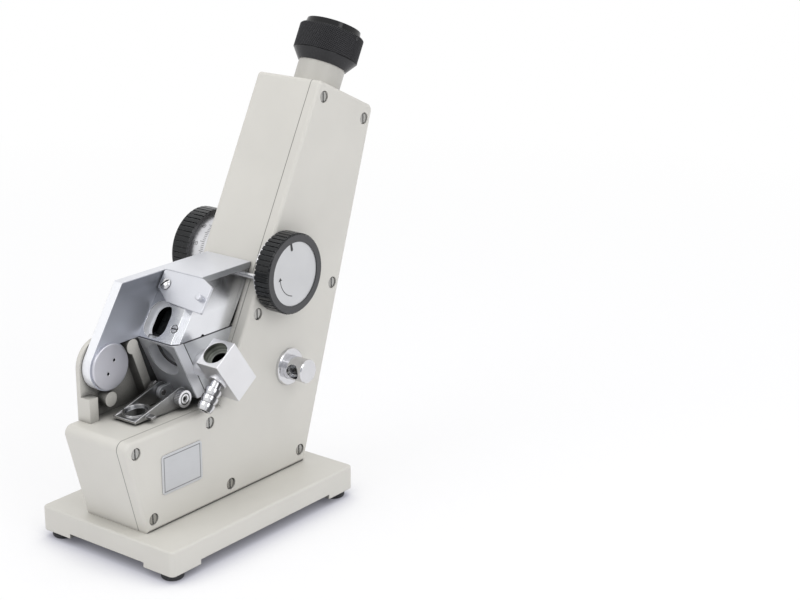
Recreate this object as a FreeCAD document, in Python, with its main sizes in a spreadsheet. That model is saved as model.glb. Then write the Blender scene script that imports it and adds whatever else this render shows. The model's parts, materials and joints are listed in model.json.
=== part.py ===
import FreeCAD, Part
import math
import os
from types import SimpleNamespace
import Sketcher

# Bench refractometer: a leaning tower on a base plate, a hinged prism box in front, an eyepiece on top.
# Millimetres. X to the side that carries the cover plate, -Y to the prisms, +Z up.
# The origin is on the surface that the feet stand on, below the middle of the base plate.

doc = FreeCAD.newDocument("Refractometer")
V = FreeCAD.Vector

SIZES = dict(
    # stand
    base_width=88, base_depth=132, base_thickness=12.5, base_corner=2.5, base_edge=1.2,
    foot_height=4, foot_radius=5.5, foot_inset=7, relief_depth=2.4, relief_margin=19,
    base_screw_radius=2, base_screw_head=3.6, base_screw_spread=12, base_screw_gap=34, base_screw_reach=10,
    # tower and block
    tower_width=41, cover_thickness=6, wall=5, toe_y=-58, nose_y=-71, block_height=48.5, step_y=-5.3,
    tower_top=213, tower_depth=45.64, heel_y=55.5, cover_round=1.8, edge_round=0.8,
    nose_round=4, brow_round=2, crown_round=3.5,
    screw_inset=6, boss_radius=5, screw_radius=1.5, screw_head=2.6, head_height=1.8, sink_radius=3,
    sink_depth=2.4, screw_reach=14, slot_width=0.7, slot_depth=0.8,
    screw_front_high=204.3, screw_back_high=188.3, screw_back_low=107.2, screw_front_low=104.8,
    screw_block_back=-13.8, screw_block_front=58.8, screw_toe=22.6, screw_floor=-0.3, screw_heel=23.6,
    badge_y=-34, badge_z=42.5, badge_width=27, badge_height=20, badge_thickness=0.5, badge_gap=0.02,
    # optical axis and eyepiece
    axis_z=121.8, axis_depth=21.8, seat_sink=0.8, tube_radius=12.1, tube_bore=9.6, tube_foot=10,
    tube_show=12.6, cone_radius=12.7, cone_height=5.4, ring_radius=16.8, ring_height=12.9, ring_groove=0.5,
    cap_radius=14.6, cap_height=3.2, eye_bore=6, ring_lift=12, lens_radius=9.3, lens_thickness=3,
    objective_station=34, objective_radius=9.3, reticle_lift=1.5, reticle_thickness=1.6,
    cell_radius=10.5, cell_bore=7, cell_height=20,
    yoke_wall=2, yoke_height=5, yoke_plate=2.5, yoke_half=7, running_gap=0.05, bevel_radius=11.5,
    bevel_rise=7.2, bevel_width=2.4, bevel_gap=0.2,
    # side knobs
    drum_radius=18.8, drum_end=32.4, drum_web=3.2, drum_wall=2.4, dispersion_radius=21.4,
    dispersion_end=43.1, shaft_radius=3, bush_radius=6, bush_flange=8, bush_lip=0.6, collar_radius=4.6,
    rib_depth=0.7, knob_edge=0.8,
    lock_y=37.6, lock_z=123.6, lock_radius=20.3, lock_face=16.1, lock_length=9,
    lock_recess=0.8, cam_radius=19.2, cam_thickness=1.3, pin_y=22, pin_z=123.6, pin_radius=1.4,
    cam_slot=2, index_radius=15, index_start=22.5, index_end=33,
    # index drive
    gear_module=0.7, gear_width=3, gear_x=-12.4,
    scale_y=29, scale_z=88, scale_hub=5, scale_thickness=1.5, scale_inner=14, scale_outer=25.5,
    sector_inner=24, scale_x=-6, mirror_x=4, swing_width=13, swing_length=15, swing_thickness=2,
    swing_block=6, scale_prism_half=4, scale_prism_depth=7,
    # condenser on the cover
    condenser_y=43.8, condenser_z=71.6, condenser_flange=9.5, flange_thickness=2, condenser_radius=6.1,
    condenser_bore=3.2, condenser_neck=4.4, condenser_end=33.9, condenser_root=13, window_radius=3.8,
    window_x=28.2, condenser_wall=2,
    # lower prism box
    box_half=12, joint_z=99.5, joint_gap=0.15, front_y=-27.9, box_floor=69.4,
    plate_thickness=6, window_half=8.4, window_step=1.6, window_low=12.4, window_high=9.6,
    prism_width=18, prism_front=-17, prism_back=7, prism_apex_y=-8, prism_depth=17,
    seat_gap=0.05, beam_radius=6, beam_drop=11.5,
    # thermometer block
    block_x=20.9, block_wide=13.5, block_long=25.8, block_deep=15.7, block_y=-8.9, block_z=86.4,
    well_radius=6.2, well_depth=5, bore_radius=4.1, bore_depth=19, link_radius=6.5, nozzle_radius=2.8,
    nozzle_bore=2, barb_height=1.3, barb_pitch=3.8, nozzle_collar=4.6, collar_height=0.9,
    # lid
    arm_outer=17.5, arm_front=-36, arm_top=129, top_plate=3, hinge_y=-47.4, hinge_z=90.2, arm_boss=12,
    hinge_cap_radius=11.3, hinge_cap_thickness=1.7, spanner_radius=0.8, spanner_pitch=3.6,
    hinge_pin_radius=4, pin_fit=0.03, face_y=-27.6, face_bevel=2.6, tower_gap=0.5,
    rear_round=7, pin_seat=4, inlet_y=-8.3, inlet_radius=1.1, arm_screw_reach=9, arm_screw_drop=7,
    feed_front=-19, feed_back=5, feed_rise=14,
    port_side=7.5, port_low=8, port_high=13.4, port_radius=7, port_depth=4.6, port_step=1.3, port_reach=16.4,
    face_screw_side=4.5, face_screw_up=8.4, face_screw_radius=2.2, face_screw_depth=5, pivot_shaft=1.6,
    shade_side=5, shade_up=28.1, shade_end=28, shade_top=6.9, shade_low=9.8, shade_thickness=1.5,
    shade_gap=0.2, shade_left=4.2, shade_corner=21.2, shade_bevel=2.8, shade_heel_x=4.6, shade_heel_y=8.2,
    shade_hip=4.8, shade_toe=2.4, stud_x=24.8, stud_down=2.7, stud_radius=1.6, stud_height=3.2,
    shade_screw_head=3, shade_screw_height=2,
    # hinge bracket
    bracket_face=12, bracket_wall=2.6, bracket_round=13.2, bracket_rim=3.2, stop_radius=3.7,
    stop_pitch=16.8, bracket_back=-17, bracket_post=5.3, bracket_open=77,
    # mirror below the lower box
    mirror_y=-20.3, mirror_z=70.9, mirror_half=7.4, mirror_length=30.4, frame_thickness=1.2,
    mirror_radius=5.7, mirror_offset=22, mirror_sink=0.7, bezel_width=1, bezel_height=0.8, handle_length=4,
    handle_half=1.4, pivot_head=4.4, pivot_head_length=3.2, ear_x=3.6, ear_thickness=2.1, ear_gap=0.2,
    fork_width=1.4, fork_radius=4.9, fork_neck=15, ear_radius=3.2,
    # shared
    clearance=0.3, overrun=1, closeness=0.001,
)

ANGLES = dict(
    lean=27.5, top_lean=25.3, lock_travel=50, scale_angle=-48, scale_half=26, sector_angle=-103.6,
    swing_tilt=31, box_lean=25.6, face_lean=35.4, block_tilt=35, nozzle_tilt=140, spanner_angle=55,
    arm_tangent=146.3, stop_high=19, stop_low=-88, mirror_tilt=7.4, pressure_angle=20,
)

COUNTS = dict(knob_ribs=48, pinion_teeth=12, sector_teeth=84, sector_shown=11)

# Shares of the gear module and of a tooth's width
SHARES = dict(tooth_tip_share=0.8, tooth_root_share=1.15, tooth_play_share=0.12)

BARBS = 3


class Size:
    """A number together with the sheet expression that gives it."""

    def __init__(self, value, text):
        self.value = float(value)
        self.text = text

    @staticmethod
    def of(other):
        return other if isinstance(other, Size) else Size(other, repr(other))

    def __add__(self, other):
        other = Size.of(other)
        return Size(self.value + other.value, f"({self.text} + {other.text})")

    def __sub__(self, other):
        other = Size.of(other)
        return Size(self.value - other.value, f"({self.text} - {other.text})")

    def __mul__(self, other):
        other = Size.of(other)
        return Size(self.value * other.value, f"({self.text} * {other.text})")

    def __truediv__(self, other):
        other = Size.of(other)
        return Size(self.value / other.value, f"({self.text} / {other.text})")

    def __neg__(self):
        return Size(-self.value, f"(-{self.text})")


def sine(angle):
    return Size(math.sin(math.radians(angle.value)), f"sin({angle.text} * 1 deg)")


def cosine(angle):
    return Size(math.cos(math.radians(angle.value)), f"cos({angle.text} * 1 deg)")


def tangent(angle):
    return sine(angle) / cosine(angle)


sheet = doc.addObject("Spreadsheet::Sheet", "Sizes")
values = {**SIZES, **ANGLES, **COUNTS, **SHARES}
for row, (alias, number) in enumerate(values.items(), start=1):
    sheet.set(f"A{row}", alias)
    sheet.set(f"B{row}", str(number))
    sheet.setAlias(f"B{row}", alias)
doc.recompute()
d = SimpleNamespace(**{alias: Size(number, f"Sizes.{alias}") for alias, number in values.items()})
ZERO = Size(0, "0")
ONE = Size(1, "1")
FULL_TURN = Size(360, "360")
HALF_TURN = Size(180, "180")
RIGHT_ANGLE = Size(90, "90")
DEGREES = Size(180 / math.pi, "(180 / pi)")
NODES = []


def bind(thing, path, size):
    thing.setExpression(path, size.text)


def place(thing, at=(ZERO, ZERO, ZERO), axis=(1, 0, 0), angle=ZERO):
    thing.Placement = FreeCAD.Placement(V(*[a.value for a in at]), FreeCAD.Rotation(V(*axis), angle.value))
    for name, size in zip("xyz", at):
        bind(thing, f"Placement.Base.{name}", size)
    if angle.value:
        bind(thing, "Placement.Rotation.Angle", angle * Size(1, "1 deg"))


def new_body(label):
    body = doc.addObject("PartDesign::Body", label)
    body.Label = label
    body.AllowCompound = True
    NODES.append(body)
    return body


def origin_item(body, role):
    return next(item for item in body.Origin.OriginFeatures if item.Role == role)


def sketch_on(body, role="YZ_Plane", lift=ZERO, at=(ZERO, ZERO), tilt=ZERO):
    """A sketch on one of the body's own planes, moved along it and tilted about its first axis."""
    sketch = body.newObject("Sketcher::SketchObject", body.Label + "_sketch")
    sketch.AttachmentSupport = [(origin_item(body, role), "")]
    sketch.MapMode = "FlatFace"
    sketch.AttachmentOffset = FreeCAD.Placement(
        V(at[0].value, at[1].value, lift.value), FreeCAD.Rotation(V(1, 0, 0), tilt.value))
    for name, size in zip("xyz", (*at, lift)):
        bind(sketch, f"AttachmentOffset.Base.{name}", size)
    if tilt.value:
        axis_sign = 1 if tilt.value > 0 else -1
        sketch.AttachmentOffset.Rotation.Axis = V(axis_sign, 0, 0)
        bind(sketch, "AttachmentOffset.Rotation.Angle", tilt * Size(axis_sign, f"{axis_sign} deg"))
    return sketch


def fix_point(sketch, geometry, end, x, y):
    for kind, size in (("DistanceX", x), ("DistanceY", y)):
        index = sketch.addConstraint(Sketcher.Constraint(kind, -1, 1, geometry, end, size.value))
        bind(sketch, f"Constraints[{index}]", size)


def add_loop(sketch, points):
    """A closed outline of straight lines through points given as pairs of sizes."""
    first = sketch.GeometryCount
    count = len(points)
    flat = [V(x.value, y.value, 0) for x, y in points]
    for index in range(count):
        sketch.addGeometry(Part.LineSegment(flat[index], flat[(index + 1) % count]), False)
    for index, (x, y) in enumerate(points):
        following = first + (index + 1) % count
        sketch.addConstraint(Sketcher.Constraint("Coincident", first + index, 2, following, 1))
        fix_point(sketch, first + index, 1, x, y)


def add_box(sketch, left, right, low, high):
    add_loop(sketch, [(left, low), (right, low), (right, high), (left, high)])


def add_circle(sketch, x, y, radius):
    circle = sketch.addGeometry(Part.Circle(V(x.value, y.value, 0), V(0, 0, 1), radius.value), False)
    fix_point(sketch, circle, 3, x, y)
    index = sketch.addConstraint(Sketcher.Constraint("Radius", circle, radius.value))
    bind(sketch, f"Constraints[{index}]", radius)


def add_slot(sketch, start, end, radius):
    """A round-ended slot between two centres."""
    ax, ay = start[0].value, start[1].value
    bx, by = end[0].value, end[1].value
    turn = math.atan2(by - ay, bx - ax)
    side = V(-math.sin(turn), math.cos(turn), 0) * radius.value
    a, b = V(ax, ay, 0), V(bx, by, 0)
    quarter = math.pi / 2
    near = Part.ArcOfCircle(Part.Circle(a, V(0, 0, 1), radius.value), turn + quarter, turn + 3 * quarter)
    far = Part.ArcOfCircle(Part.Circle(b, V(0, 0, 1), radius.value), turn - quarter, turn + quarter)
    one = sketch.addGeometry(near, False)
    two = sketch.addGeometry(far, False)
    low = sketch.addGeometry(Part.LineSegment(a - side, b - side), False)
    high = sketch.addGeometry(Part.LineSegment(b + side, a + side), False)
    for first, first_end, second, second_end in ((one, 2, low, 1), (low, 2, two, 1), (two, 2, high, 1),
                                                 (high, 2, one, 1)):
        sketch.addConstraint(Sketcher.Constraint("Tangent", first, first_end, second, second_end))
    fix_point(sketch, one, 3, *start)
    fix_point(sketch, two, 3, *end)
    index = sketch.addConstraint(Sketcher.Constraint("Radius", one, radius.value))
    bind(sketch, f"Constraints[{index}]", radius)


def pad(body, sketch, length):
    feature = body.newObject("PartDesign::Pad", body.Label + "_pad")
    feature.Profile = sketch
    bind(feature, "Length", length)
    return feature


def pocket(body, sketch, length, along=False, both=False):
    """Cuts against the sketch's normal, along it, or to both sides."""
    feature = body.newObject("PartDesign::Pocket", body.Label + "_pocket")
    feature.Profile = sketch
    feature.Reversed = along
    if both:
        feature.Midplane = True
    bind(feature, "Length", length)
    return feature


def revolve(body, points, groove=False):
    """Turns a profile of (radius, station) points about the body's own Z axis."""
    sketch = sketch_on(body, "XZ_Plane")
    add_loop(sketch, points)
    kind = "PartDesign::Groove" if groove else "PartDesign::Revolution"
    feature = body.newObject(kind, body.Label + "_turn")
    feature.Profile = sketch
    feature.ReferenceAxis = (sketch, ["V_Axis"])
    feature.Angle = 360
    return feature


def ring_points(inner, outer, low, high):
    return [(inner, low), (outer, low), (outer, high), (inner, high)]


def repeat_round(body, feature, count, span=FULL_TURN, role="Z_Axis"):
    pattern = body.newObject("PartDesign::PolarPattern", body.Label + "_pattern")
    pattern.Originals = [feature]
    pattern.Axis = (origin_item(body, role), [""])
    bind(pattern, "Angle", span)
    bind(pattern, "Occurrences", count)
    body.Tip = pattern


def round_edges(body, radius, chosen, chamfer=False):
    """Rounds or bevels those edges of the body's last shape that a test picks."""
    doc.recompute()
    base = body.Tip
    names = [f"Edge{index}" for index, edge in enumerate(base.Shape.Edges, start=1) if chosen(edge)]
    if not names:
        raise ValueError(f"{body.Label}: no edge to round")
    kind = "PartDesign::Chamfer" if chamfer else "PartDesign::Fillet"
    feature = body.newObject(kind, body.Label + "_edge")
    feature.Base = (base, names)
    bind(feature, "Size" if chamfer else "Radius", radius)


def runs_along(edge, axis):
    """True for a straight edge parallel to an axis given as a vector."""
    if edge.Curve.TypeId != "Part::GeomLine":
        return False
    return edge.tangentAt(edge.FirstParameter).cross(axis).Length < d.closeness.value


def lies_at(edge, axis, level):
    """True for an edge whose ends and middle all lie at a level along x, y or z."""
    first, last = edge.ParameterRange
    spots = [edge.valueAt(first + (last - first) * share) for share in (0, 0.5, 1)]
    return all(abs(getattr(spot, axis) - level.value) < d.closeness.value for spot in spots)


def is_hole(edge):
    return edge.Curve.TypeId == "Part::GeomCircle" and edge.isClosed()


def is_rim(edge, radius, level):
    """True for the circle of a given radius at a level along z."""
    if edge.Curve.TypeId != "Part::GeomCircle":
        return False
    return abs(edge.Curve.Radius - radius.value) < d.closeness.value and lies_at(edge, "z", level)


X_AXIS, Z_AXIS = V(1, 0, 0), V(0, 0, 1)

# Levels and lines that several pieces share
deck = d.foot_height + d.base_thickness
block_top = deck + d.block_height
half_width = d.tower_width / 2
seam_x = half_width - d.cover_thickness
beam_z = d.joint_z - d.beam_drop


def front_line(z):
    return d.step_y + (z - block_top) * tangent(d.lean)


brow_y = front_line(d.tower_top)
back_y = brow_y + d.tower_depth * cosine(d.top_lean)
back_z = d.tower_top - d.tower_depth * sine(d.top_lean)


def back_line(z):
    return d.heel_y + (z - deck) * (back_y - d.heel_y) / (back_z - deck)


def toe_line(z):
    return d.toe_y + (z - deck) * (d.nose_y - d.toe_y) / d.block_height


axis_y = front_line(d.axis_z) + d.axis_depth / cosine(d.lean)
top_drop = (brow_y - axis_y) * sine(d.top_lean) + (d.tower_top - d.axis_z) * cosine(d.top_lean)
seat_station = top_drop / cosine(d.lean - d.top_lean) - d.seat_sink

center_distance = d.gear_module * (d.pinion_teeth + d.sector_teeth) / 2
index_y = d.scale_y + center_distance * cosine(d.sector_angle)
index_z = d.scale_z + center_distance * sine(d.sector_angle)

cam_low = half_width + d.bush_lip + d.clearance
lock_start = cam_low + d.cam_thickness
lock_end = lock_start + d.lock_length


def tower_outline():
    return [
        (d.toe_y, deck), (d.nose_y, block_top), (d.step_y, block_top),
        (brow_y, d.tower_top), (back_y, back_z), (d.heel_y, deck),
    ]


def round_corners(body):
    """Softens the outline's three open corners: the block's nose and the two at the tower's top."""
    for y, z, radius in ((d.nose_y, block_top, d.nose_round), (brow_y, d.tower_top, d.brow_round),
                         (back_y, back_z, d.crown_round)):
        round_edges(body, radius, lambda edge: lies_at(edge, "y", y) and lies_at(edge, "z", z))


def cover_screw_places():
    """Each screw stands the same distance inside the edge that it follows."""
    inset = d.screw_inset / cosine(d.lean)
    return [
        (front_line(d.screw_front_high) + inset, d.screw_front_high),
        (back_line(d.screw_back_high) - d.screw_inset, d.screw_back_high),
        (back_line(d.screw_back_low) - d.screw_inset, d.screw_back_low),
        (front_line(d.screw_front_low) + inset, d.screw_front_low),
        (d.screw_block_back, block_top - d.screw_inset),
        (toe_line(d.screw_block_front) + d.screw_inset, d.screw_block_front),
        (toe_line(d.screw_toe) + d.screw_inset, d.screw_toe),
        (d.screw_floor, deck + d.screw_inset),
        (back_line(d.screw_heel) - d.screw_inset, d.screw_heel),
    ]


def foot_places():
    x = d.base_width / 2 - d.foot_inset
    y = d.base_depth / 2 - d.foot_inset
    return [(x, y), (-x, y), (-x, -y), (x, -y)]


def base_screw_places():
    return [(x, y) for x in (d.base_screw_spread, -d.base_screw_spread)
            for y in (d.base_screw_gap, -d.base_screw_gap)]


def make_base_plate():
    body = new_body("base_plate")
    sketch = sketch_on(body, "XY_Plane", d.foot_height)
    add_box(sketch, -d.base_width / 2, d.base_width / 2, -d.base_depth / 2, d.base_depth / 2)
    pad(body, sketch, d.base_thickness)
    round_edges(body, d.base_corner, lambda edge: runs_along(edge, Z_AXIS))
    round_edges(body, d.base_edge, lambda edge: lies_at(edge, "z", deck))
    side = d.base_depth / 2 - d.relief_margin
    end = d.base_width / 2 - d.relief_margin
    for half_x, half_y in ((d.base_width, side), (end, d.base_depth)):
        sketch = sketch_on(body, "XY_Plane", d.foot_height)
        add_box(sketch, -half_x, half_x, -half_y, half_y)
        pocket(body, sketch, d.relief_depth, along=True)
    sketch = sketch_on(body, "XY_Plane", d.foot_height)
    for x, y in base_screw_places():
        add_circle(sketch, x, y, d.base_screw_radius)
    pocket(body, sketch, d.base_thickness + d.overrun, along=True)
    sketch = sketch_on(body, "XY_Plane", d.foot_height)
    for x, y in base_screw_places():
        add_circle(sketch, x, y, d.base_screw_head + d.clearance)
    pocket(body, sketch, d.relief_depth + d.head_height + d.overrun, along=True)


def make_feet():
    body = new_body("rubber_feet")
    sketch = sketch_on(body, "XY_Plane")
    for x, y in foot_places():
        add_circle(sketch, x, y, d.foot_radius)
    pad(body, sketch, d.foot_height)
    round_edges(body, d.base_edge, lambda edge: lies_at(edge, "z", ZERO))


def make_base_screws():
    body = new_body("base_screws")
    seat = d.foot_height + d.relief_depth + d.head_height + d.overrun
    sketch = sketch_on(body, "XY_Plane", seat - d.head_height)
    for x, y in base_screw_places():
        add_circle(sketch, x, y, d.base_screw_head)
    pad(body, sketch, d.head_height)
    sketch = sketch_on(body, "XY_Plane", seat)
    for x, y in base_screw_places():
        add_circle(sketch, x, y, d.base_screw_radius)
    pad(body, sketch, deck - seat + d.base_screw_reach)


def make_housing():
    """The casting: one thick-walled shell, open towards the cover, with bosses for the cover's screws."""
    body = new_body("housing")
    sketch = sketch_on(body, "YZ_Plane", -half_width)
    add_loop(sketch, tower_outline())
    solid = pad(body, sketch, half_width + seam_x)
    doc.recompute()
    open_face = next(index for index, face in enumerate(solid.Shape.Faces, start=1)
                     if abs(face.CenterOfMass.x - seam_x.value) < d.closeness.value)
    shell = body.newObject("PartDesign::Thickness", "housing_shell")
    shell.Base = (solid, [f"Face{open_face}"])
    shell.Mode = "Skin"
    shell.Join = "Intersection"
    shell.Reversed = True
    bind(shell, "Value", d.wall)
    sketch = sketch_on(body, "YZ_Plane", -half_width + d.overrun)
    for y, z in cover_screw_places():
        add_circle(sketch, y, z, d.boss_radius)
    pad(body, sketch, half_width + seam_x - d.overrun)
    sketch = sketch_on(body, "YZ_Plane", seam_x)
    for y, z in cover_screw_places():
        add_circle(sketch, y, z, d.screw_radius)
    pocket(body, sketch, d.screw_reach)
    sketch = sketch_on(body, "XY_Plane", d.axis_z + seat_station * cosine(d.lean),
                       (ZERO, axis_y + seat_station * sine(d.lean)), -d.lean)
    add_circle(sketch, ZERO, ZERO, d.tube_radius)
    pocket(body, sketch, (d.tube_foot + d.tube_radius) * 2, both=True)
    sketch = sketch_on(body, "YZ_Plane", -half_width)
    add_circle(sketch, axis_y, d.axis_z, d.bush_radius)
    add_circle(sketch, index_y, index_z, d.bush_radius)
    pocket(body, sketch, d.wall + d.overrun, along=True)
    sketch = sketch_on(body, "XZ_Plane", -front_line(beam_z))
    add_circle(sketch, ZERO, beam_z, d.beam_radius)
    pocket(body, sketch, (d.wall + d.beam_radius) * 2, both=True)
    sketch = sketch_on(body, "XY_Plane", deck)
    for x, y in base_screw_places():
        add_circle(sketch, x, y, d.base_screw_radius)
    pocket(body, sketch, d.base_screw_reach + d.overrun, along=True)
    round_corners(body)
    round_edges(body, d.edge_round, lambda edge: lies_at(edge, "x", -half_width) and not is_hole(edge))


def make_cover():
    body = new_body("side_cover")
    sketch = sketch_on(body, "YZ_Plane", seam_x)
    add_loop(sketch, tower_outline())
    pad(body, sketch, d.cover_thickness)
    round_corners(body)
    round_edges(body, d.cover_round, lambda edge: lies_at(edge, "x", half_width))
    sketch = sketch_on(body, "YZ_Plane", half_width)
    for y, z in cover_screw_places():
        add_circle(sketch, y, z, d.sink_radius)
    pocket(body, sketch, d.sink_depth)
    sketch = sketch_on(body, "YZ_Plane", half_width)
    for y, z in cover_screw_places():
        add_circle(sketch, y, z, d.screw_radius)
    pocket(body, sketch, d.cover_thickness + d.overrun)
    sketch = sketch_on(body, "YZ_Plane", half_width)
    add_circle(sketch, d.lock_y, d.lock_z, d.bush_radius)
    add_circle(sketch, d.condenser_y, d.condenser_z, d.condenser_neck + d.running_gap)
    pocket(body, sketch, d.cover_thickness + d.overrun)


def make_cover_screws():
    body = new_body("cover_screws")
    seat = half_width - d.sink_depth
    sketch = sketch_on(body, "YZ_Plane", seat - d.cover_thickness - d.screw_radius)
    for y, z in cover_screw_places():
        add_circle(sketch, y, z, d.screw_radius)
    pad(body, sketch, d.cover_thickness + d.screw_radius)
    sketch = sketch_on(body, "YZ_Plane", seat)
    for y, z in cover_screw_places():
        add_circle(sketch, y, z, d.screw_head)
    pad(body, sketch, d.head_height)
    sketch = sketch_on(body, "YZ_Plane", seat + d.head_height)
    for y, z in cover_screw_places():
        add_box(sketch, y - d.slot_width / 2, y + d.slot_width / 2, z - d.sink_radius, z + d.sink_radius)
    pocket(body, sketch, d.slot_depth)


def make_badge():
    """A bare plate beside the foot of the cover."""
    body = new_body("nameplate")
    sketch = sketch_on(body, "YZ_Plane", half_width + d.badge_gap)
    add_box(sketch, d.badge_y - d.badge_width / 2, d.badge_y + d.badge_width / 2,
            d.badge_z - d.badge_height / 2, d.badge_z + d.badge_height / 2)
    pad(body, sketch, d.badge_thickness)
    round_edges(body, d.cover_round, lambda edge: runs_along(edge, X_AXIS))


def along_axis(body, turned=ZERO):
    """Puts a body's own Z axis on the optical axis, from where the dispersion shaft crosses it."""
    place(body, (ZERO, axis_y, d.axis_z), (-1, 0, 0), d.lean + turned)


def across(body, y, z, left=False):
    """Puts a body's own Z axis along X, to the cover side or to the left side."""
    place(body, (ZERO, y, z), (0, -1 if left else 1, 0), RIGHT_ANGLE)


def make_eyepiece_tube():
    body = new_body("eyepiece_tube")
    top = seat_station + d.tube_show + d.ring_lift
    revolve(body, ring_points(d.tube_bore, d.tube_radius, seat_station - d.tube_foot, top))
    along_axis(body)


def make_focus_ring():
    """The knurled ring with its cone, turning on the top of the eyepiece tube."""
    body = new_body("focus_ring")
    low = seat_station + d.tube_show
    shoulder = low + d.cone_height
    top = shoulder + d.ring_height
    bore = d.tube_radius + d.running_gap
    inner = low + d.ring_lift + d.clearance
    revolve(body, [
        (bore, low), (d.cone_radius, low), (d.ring_radius - d.ring_groove, shoulder - d.ring_groove),
        (d.ring_radius - d.ring_groove, shoulder), (d.ring_radius, shoulder), (d.ring_radius, top),
        (d.lens_radius, top), (d.lens_radius, inner), (bore, inner),
    ])
    round_edges(body, d.ring_groove, lambda edge: is_rim(edge, d.ring_radius, top), chamfer=True)
    along_axis(body)


def make_eye_cap():
    body = new_body("eye_cap")
    low = seat_station + d.tube_show + d.cone_height + d.ring_height
    top = low + d.cap_height
    revolve(body, [
        (d.eye_bore, low), (d.cap_radius, low), (d.cap_radius - d.ring_groove, top),
        (d.lens_radius, top), (d.eye_bore, low + d.cap_height / 2),
    ])
    along_axis(body)


def make_disc(label, radius, low, high):
    """A round glass or plug on the optical axis."""
    body = new_body(label)
    revolve(body, ring_points(ZERO, radius, low, high))
    along_axis(body)


def make_glasses():
    eye = seat_station + d.tube_show + d.cone_height + d.ring_height
    reticle = seat_station + d.reticle_lift
    make_disc("eye_lens", d.lens_radius, eye - d.lens_thickness, eye)
    make_disc("reticle", d.tube_bore, reticle, reticle + d.reticle_thickness)
    make_disc("objective_lens", d.objective_radius, d.objective_station,
              d.objective_station + d.lens_thickness)


def make_optics_bracket():
    """A plate on the inner wall with three rings, two for the prism cells and one for the objective."""
    body = new_body("optics_bracket")
    low = -d.cell_height
    high = d.objective_station + d.yoke_height
    wall_x = -(half_width - d.wall)
    sketch = sketch_on(body, "YZ_Plane", wall_x)
    add_box(sketch, -d.yoke_half, d.yoke_half, low, high)
    pad(body, sketch, d.yoke_plate)
    journal = d.cell_radius + d.running_gap
    rim = journal + d.yoke_wall
    for station in (d.bevel_radius, -d.bevel_radius - d.yoke_height, d.objective_station):
        sketch = sketch_on(body, "XY_Plane", station)
        add_circle(sketch, ZERO, ZERO, rim)
        pad(body, sketch, d.yoke_height)
        sketch = sketch_on(body, "XY_Plane", station)
        add_box(sketch, wall_x, -rim / 2, -d.yoke_half, d.yoke_half)
        pad(body, sketch, d.yoke_height)
    sketch = sketch_on(body, "XY_Plane", low)
    add_circle(sketch, ZERO, ZERO, journal)
    pocket(body, sketch, d.objective_station - low - d.overrun, along=True)
    sketch = sketch_on(body, "XY_Plane", high)
    add_circle(sketch, ZERO, ZERO, d.objective_radius)
    pocket(body, sketch, d.yoke_height + d.overrun * 2)
    sketch = sketch_on(body, "YZ_Plane", wall_x)
    add_circle(sketch, ZERO, ZERO, d.bush_radius)
    pocket(body, sketch, d.yoke_plate, along=True)
    along_axis(body)


def make_cell(label, glass, turned):
    """A turning cell with a bevel rim that faces the shaft, and its glass."""
    body = new_body(label)
    inner = d.bevel_radius - d.bevel_width
    slope = d.bevel_rise / d.bevel_radius
    foot = inner * slope + d.bevel_gap
    rim = d.bevel_rise + d.bevel_gap
    revolve(body, [
        (d.cell_bore, foot), (inner, foot), (d.bevel_radius, rim),
        (d.bevel_radius, d.bevel_radius - d.bevel_gap), (d.cell_radius, d.bevel_radius - d.bevel_gap),
        (d.cell_radius, d.cell_height), (d.cell_bore, d.cell_height),
    ])
    along_axis(body, turned)
    body = new_body(glass)
    revolve(body, ring_points(ZERO, d.cell_bore, rim, d.cell_height - d.overrun))
    along_axis(body, turned)


def add_ribs(body, radius, low, high, count):
    """Grooves cut evenly round a knob's rim."""
    sketch = sketch_on(body, "XY_Plane", low)
    half = radius * Size(math.pi / 2, "(pi / 2)") / count
    add_loop(sketch, [
        (radius - d.rib_depth, -half / 3), (radius + d.overrun, -half), (radius + d.overrun, half),
        (radius - d.rib_depth, half / 3),
    ])
    cut = pocket(body, sketch, high - low, along=True)
    repeat_round(body, cut, count)


def make_dispersion():
    """The drum and knob on the left, on a shaft whose bevel drives both prism cells opposite ways."""
    start = half_width + d.clearance
    web = d.drum_end - d.drum_web
    body = new_body("dispersion_drum")
    rim = d.drum_radius - d.drum_wall
    revolve(body, [
        (d.shaft_radius, web), (rim, web), (rim, start), (d.drum_radius, start), (d.drum_radius, d.drum_end),
        (d.shaft_radius, d.drum_end),
    ])
    across(body, axis_y, d.axis_z, left=True)
    body = new_body("dispersion_knob")
    end = d.dispersion_end
    revolve(body, [
        (d.shaft_radius, d.drum_end), (d.dispersion_radius, d.drum_end),
        (d.dispersion_radius, end - d.knob_edge), (d.dispersion_radius - d.knob_edge, end),
        (d.shaft_radius, end),
    ])
    add_ribs(body, d.dispersion_radius, d.drum_end, end, d.knob_ribs)
    across(body, axis_y, d.axis_z, left=True)
    body = new_body("dispersion_shaft")
    inner = d.bevel_radius - d.bevel_width
    slope = d.bevel_rise / d.bevel_radius
    revolve(body, [
        (ZERO, inner), (inner * slope - d.bevel_gap, inner), (d.bevel_rise - d.bevel_gap, d.bevel_radius),
        (d.shaft_radius, d.bevel_radius), (d.shaft_radius, end - d.knob_edge), (ZERO, end - d.knob_edge),
    ])
    across(body, axis_y, d.axis_z, left=True)


def make_bush(label, y, z, left):
    body = new_body(label)
    bore = d.shaft_radius + d.running_gap
    revolve(body, [
        (bore, seam_x), (d.bush_radius, seam_x), (d.bush_radius, half_width), (d.bush_flange, half_width),
        (d.bush_flange, half_width + d.bush_lip), (bore, half_width + d.bush_lip),
    ])
    across(body, y, z, left)


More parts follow.
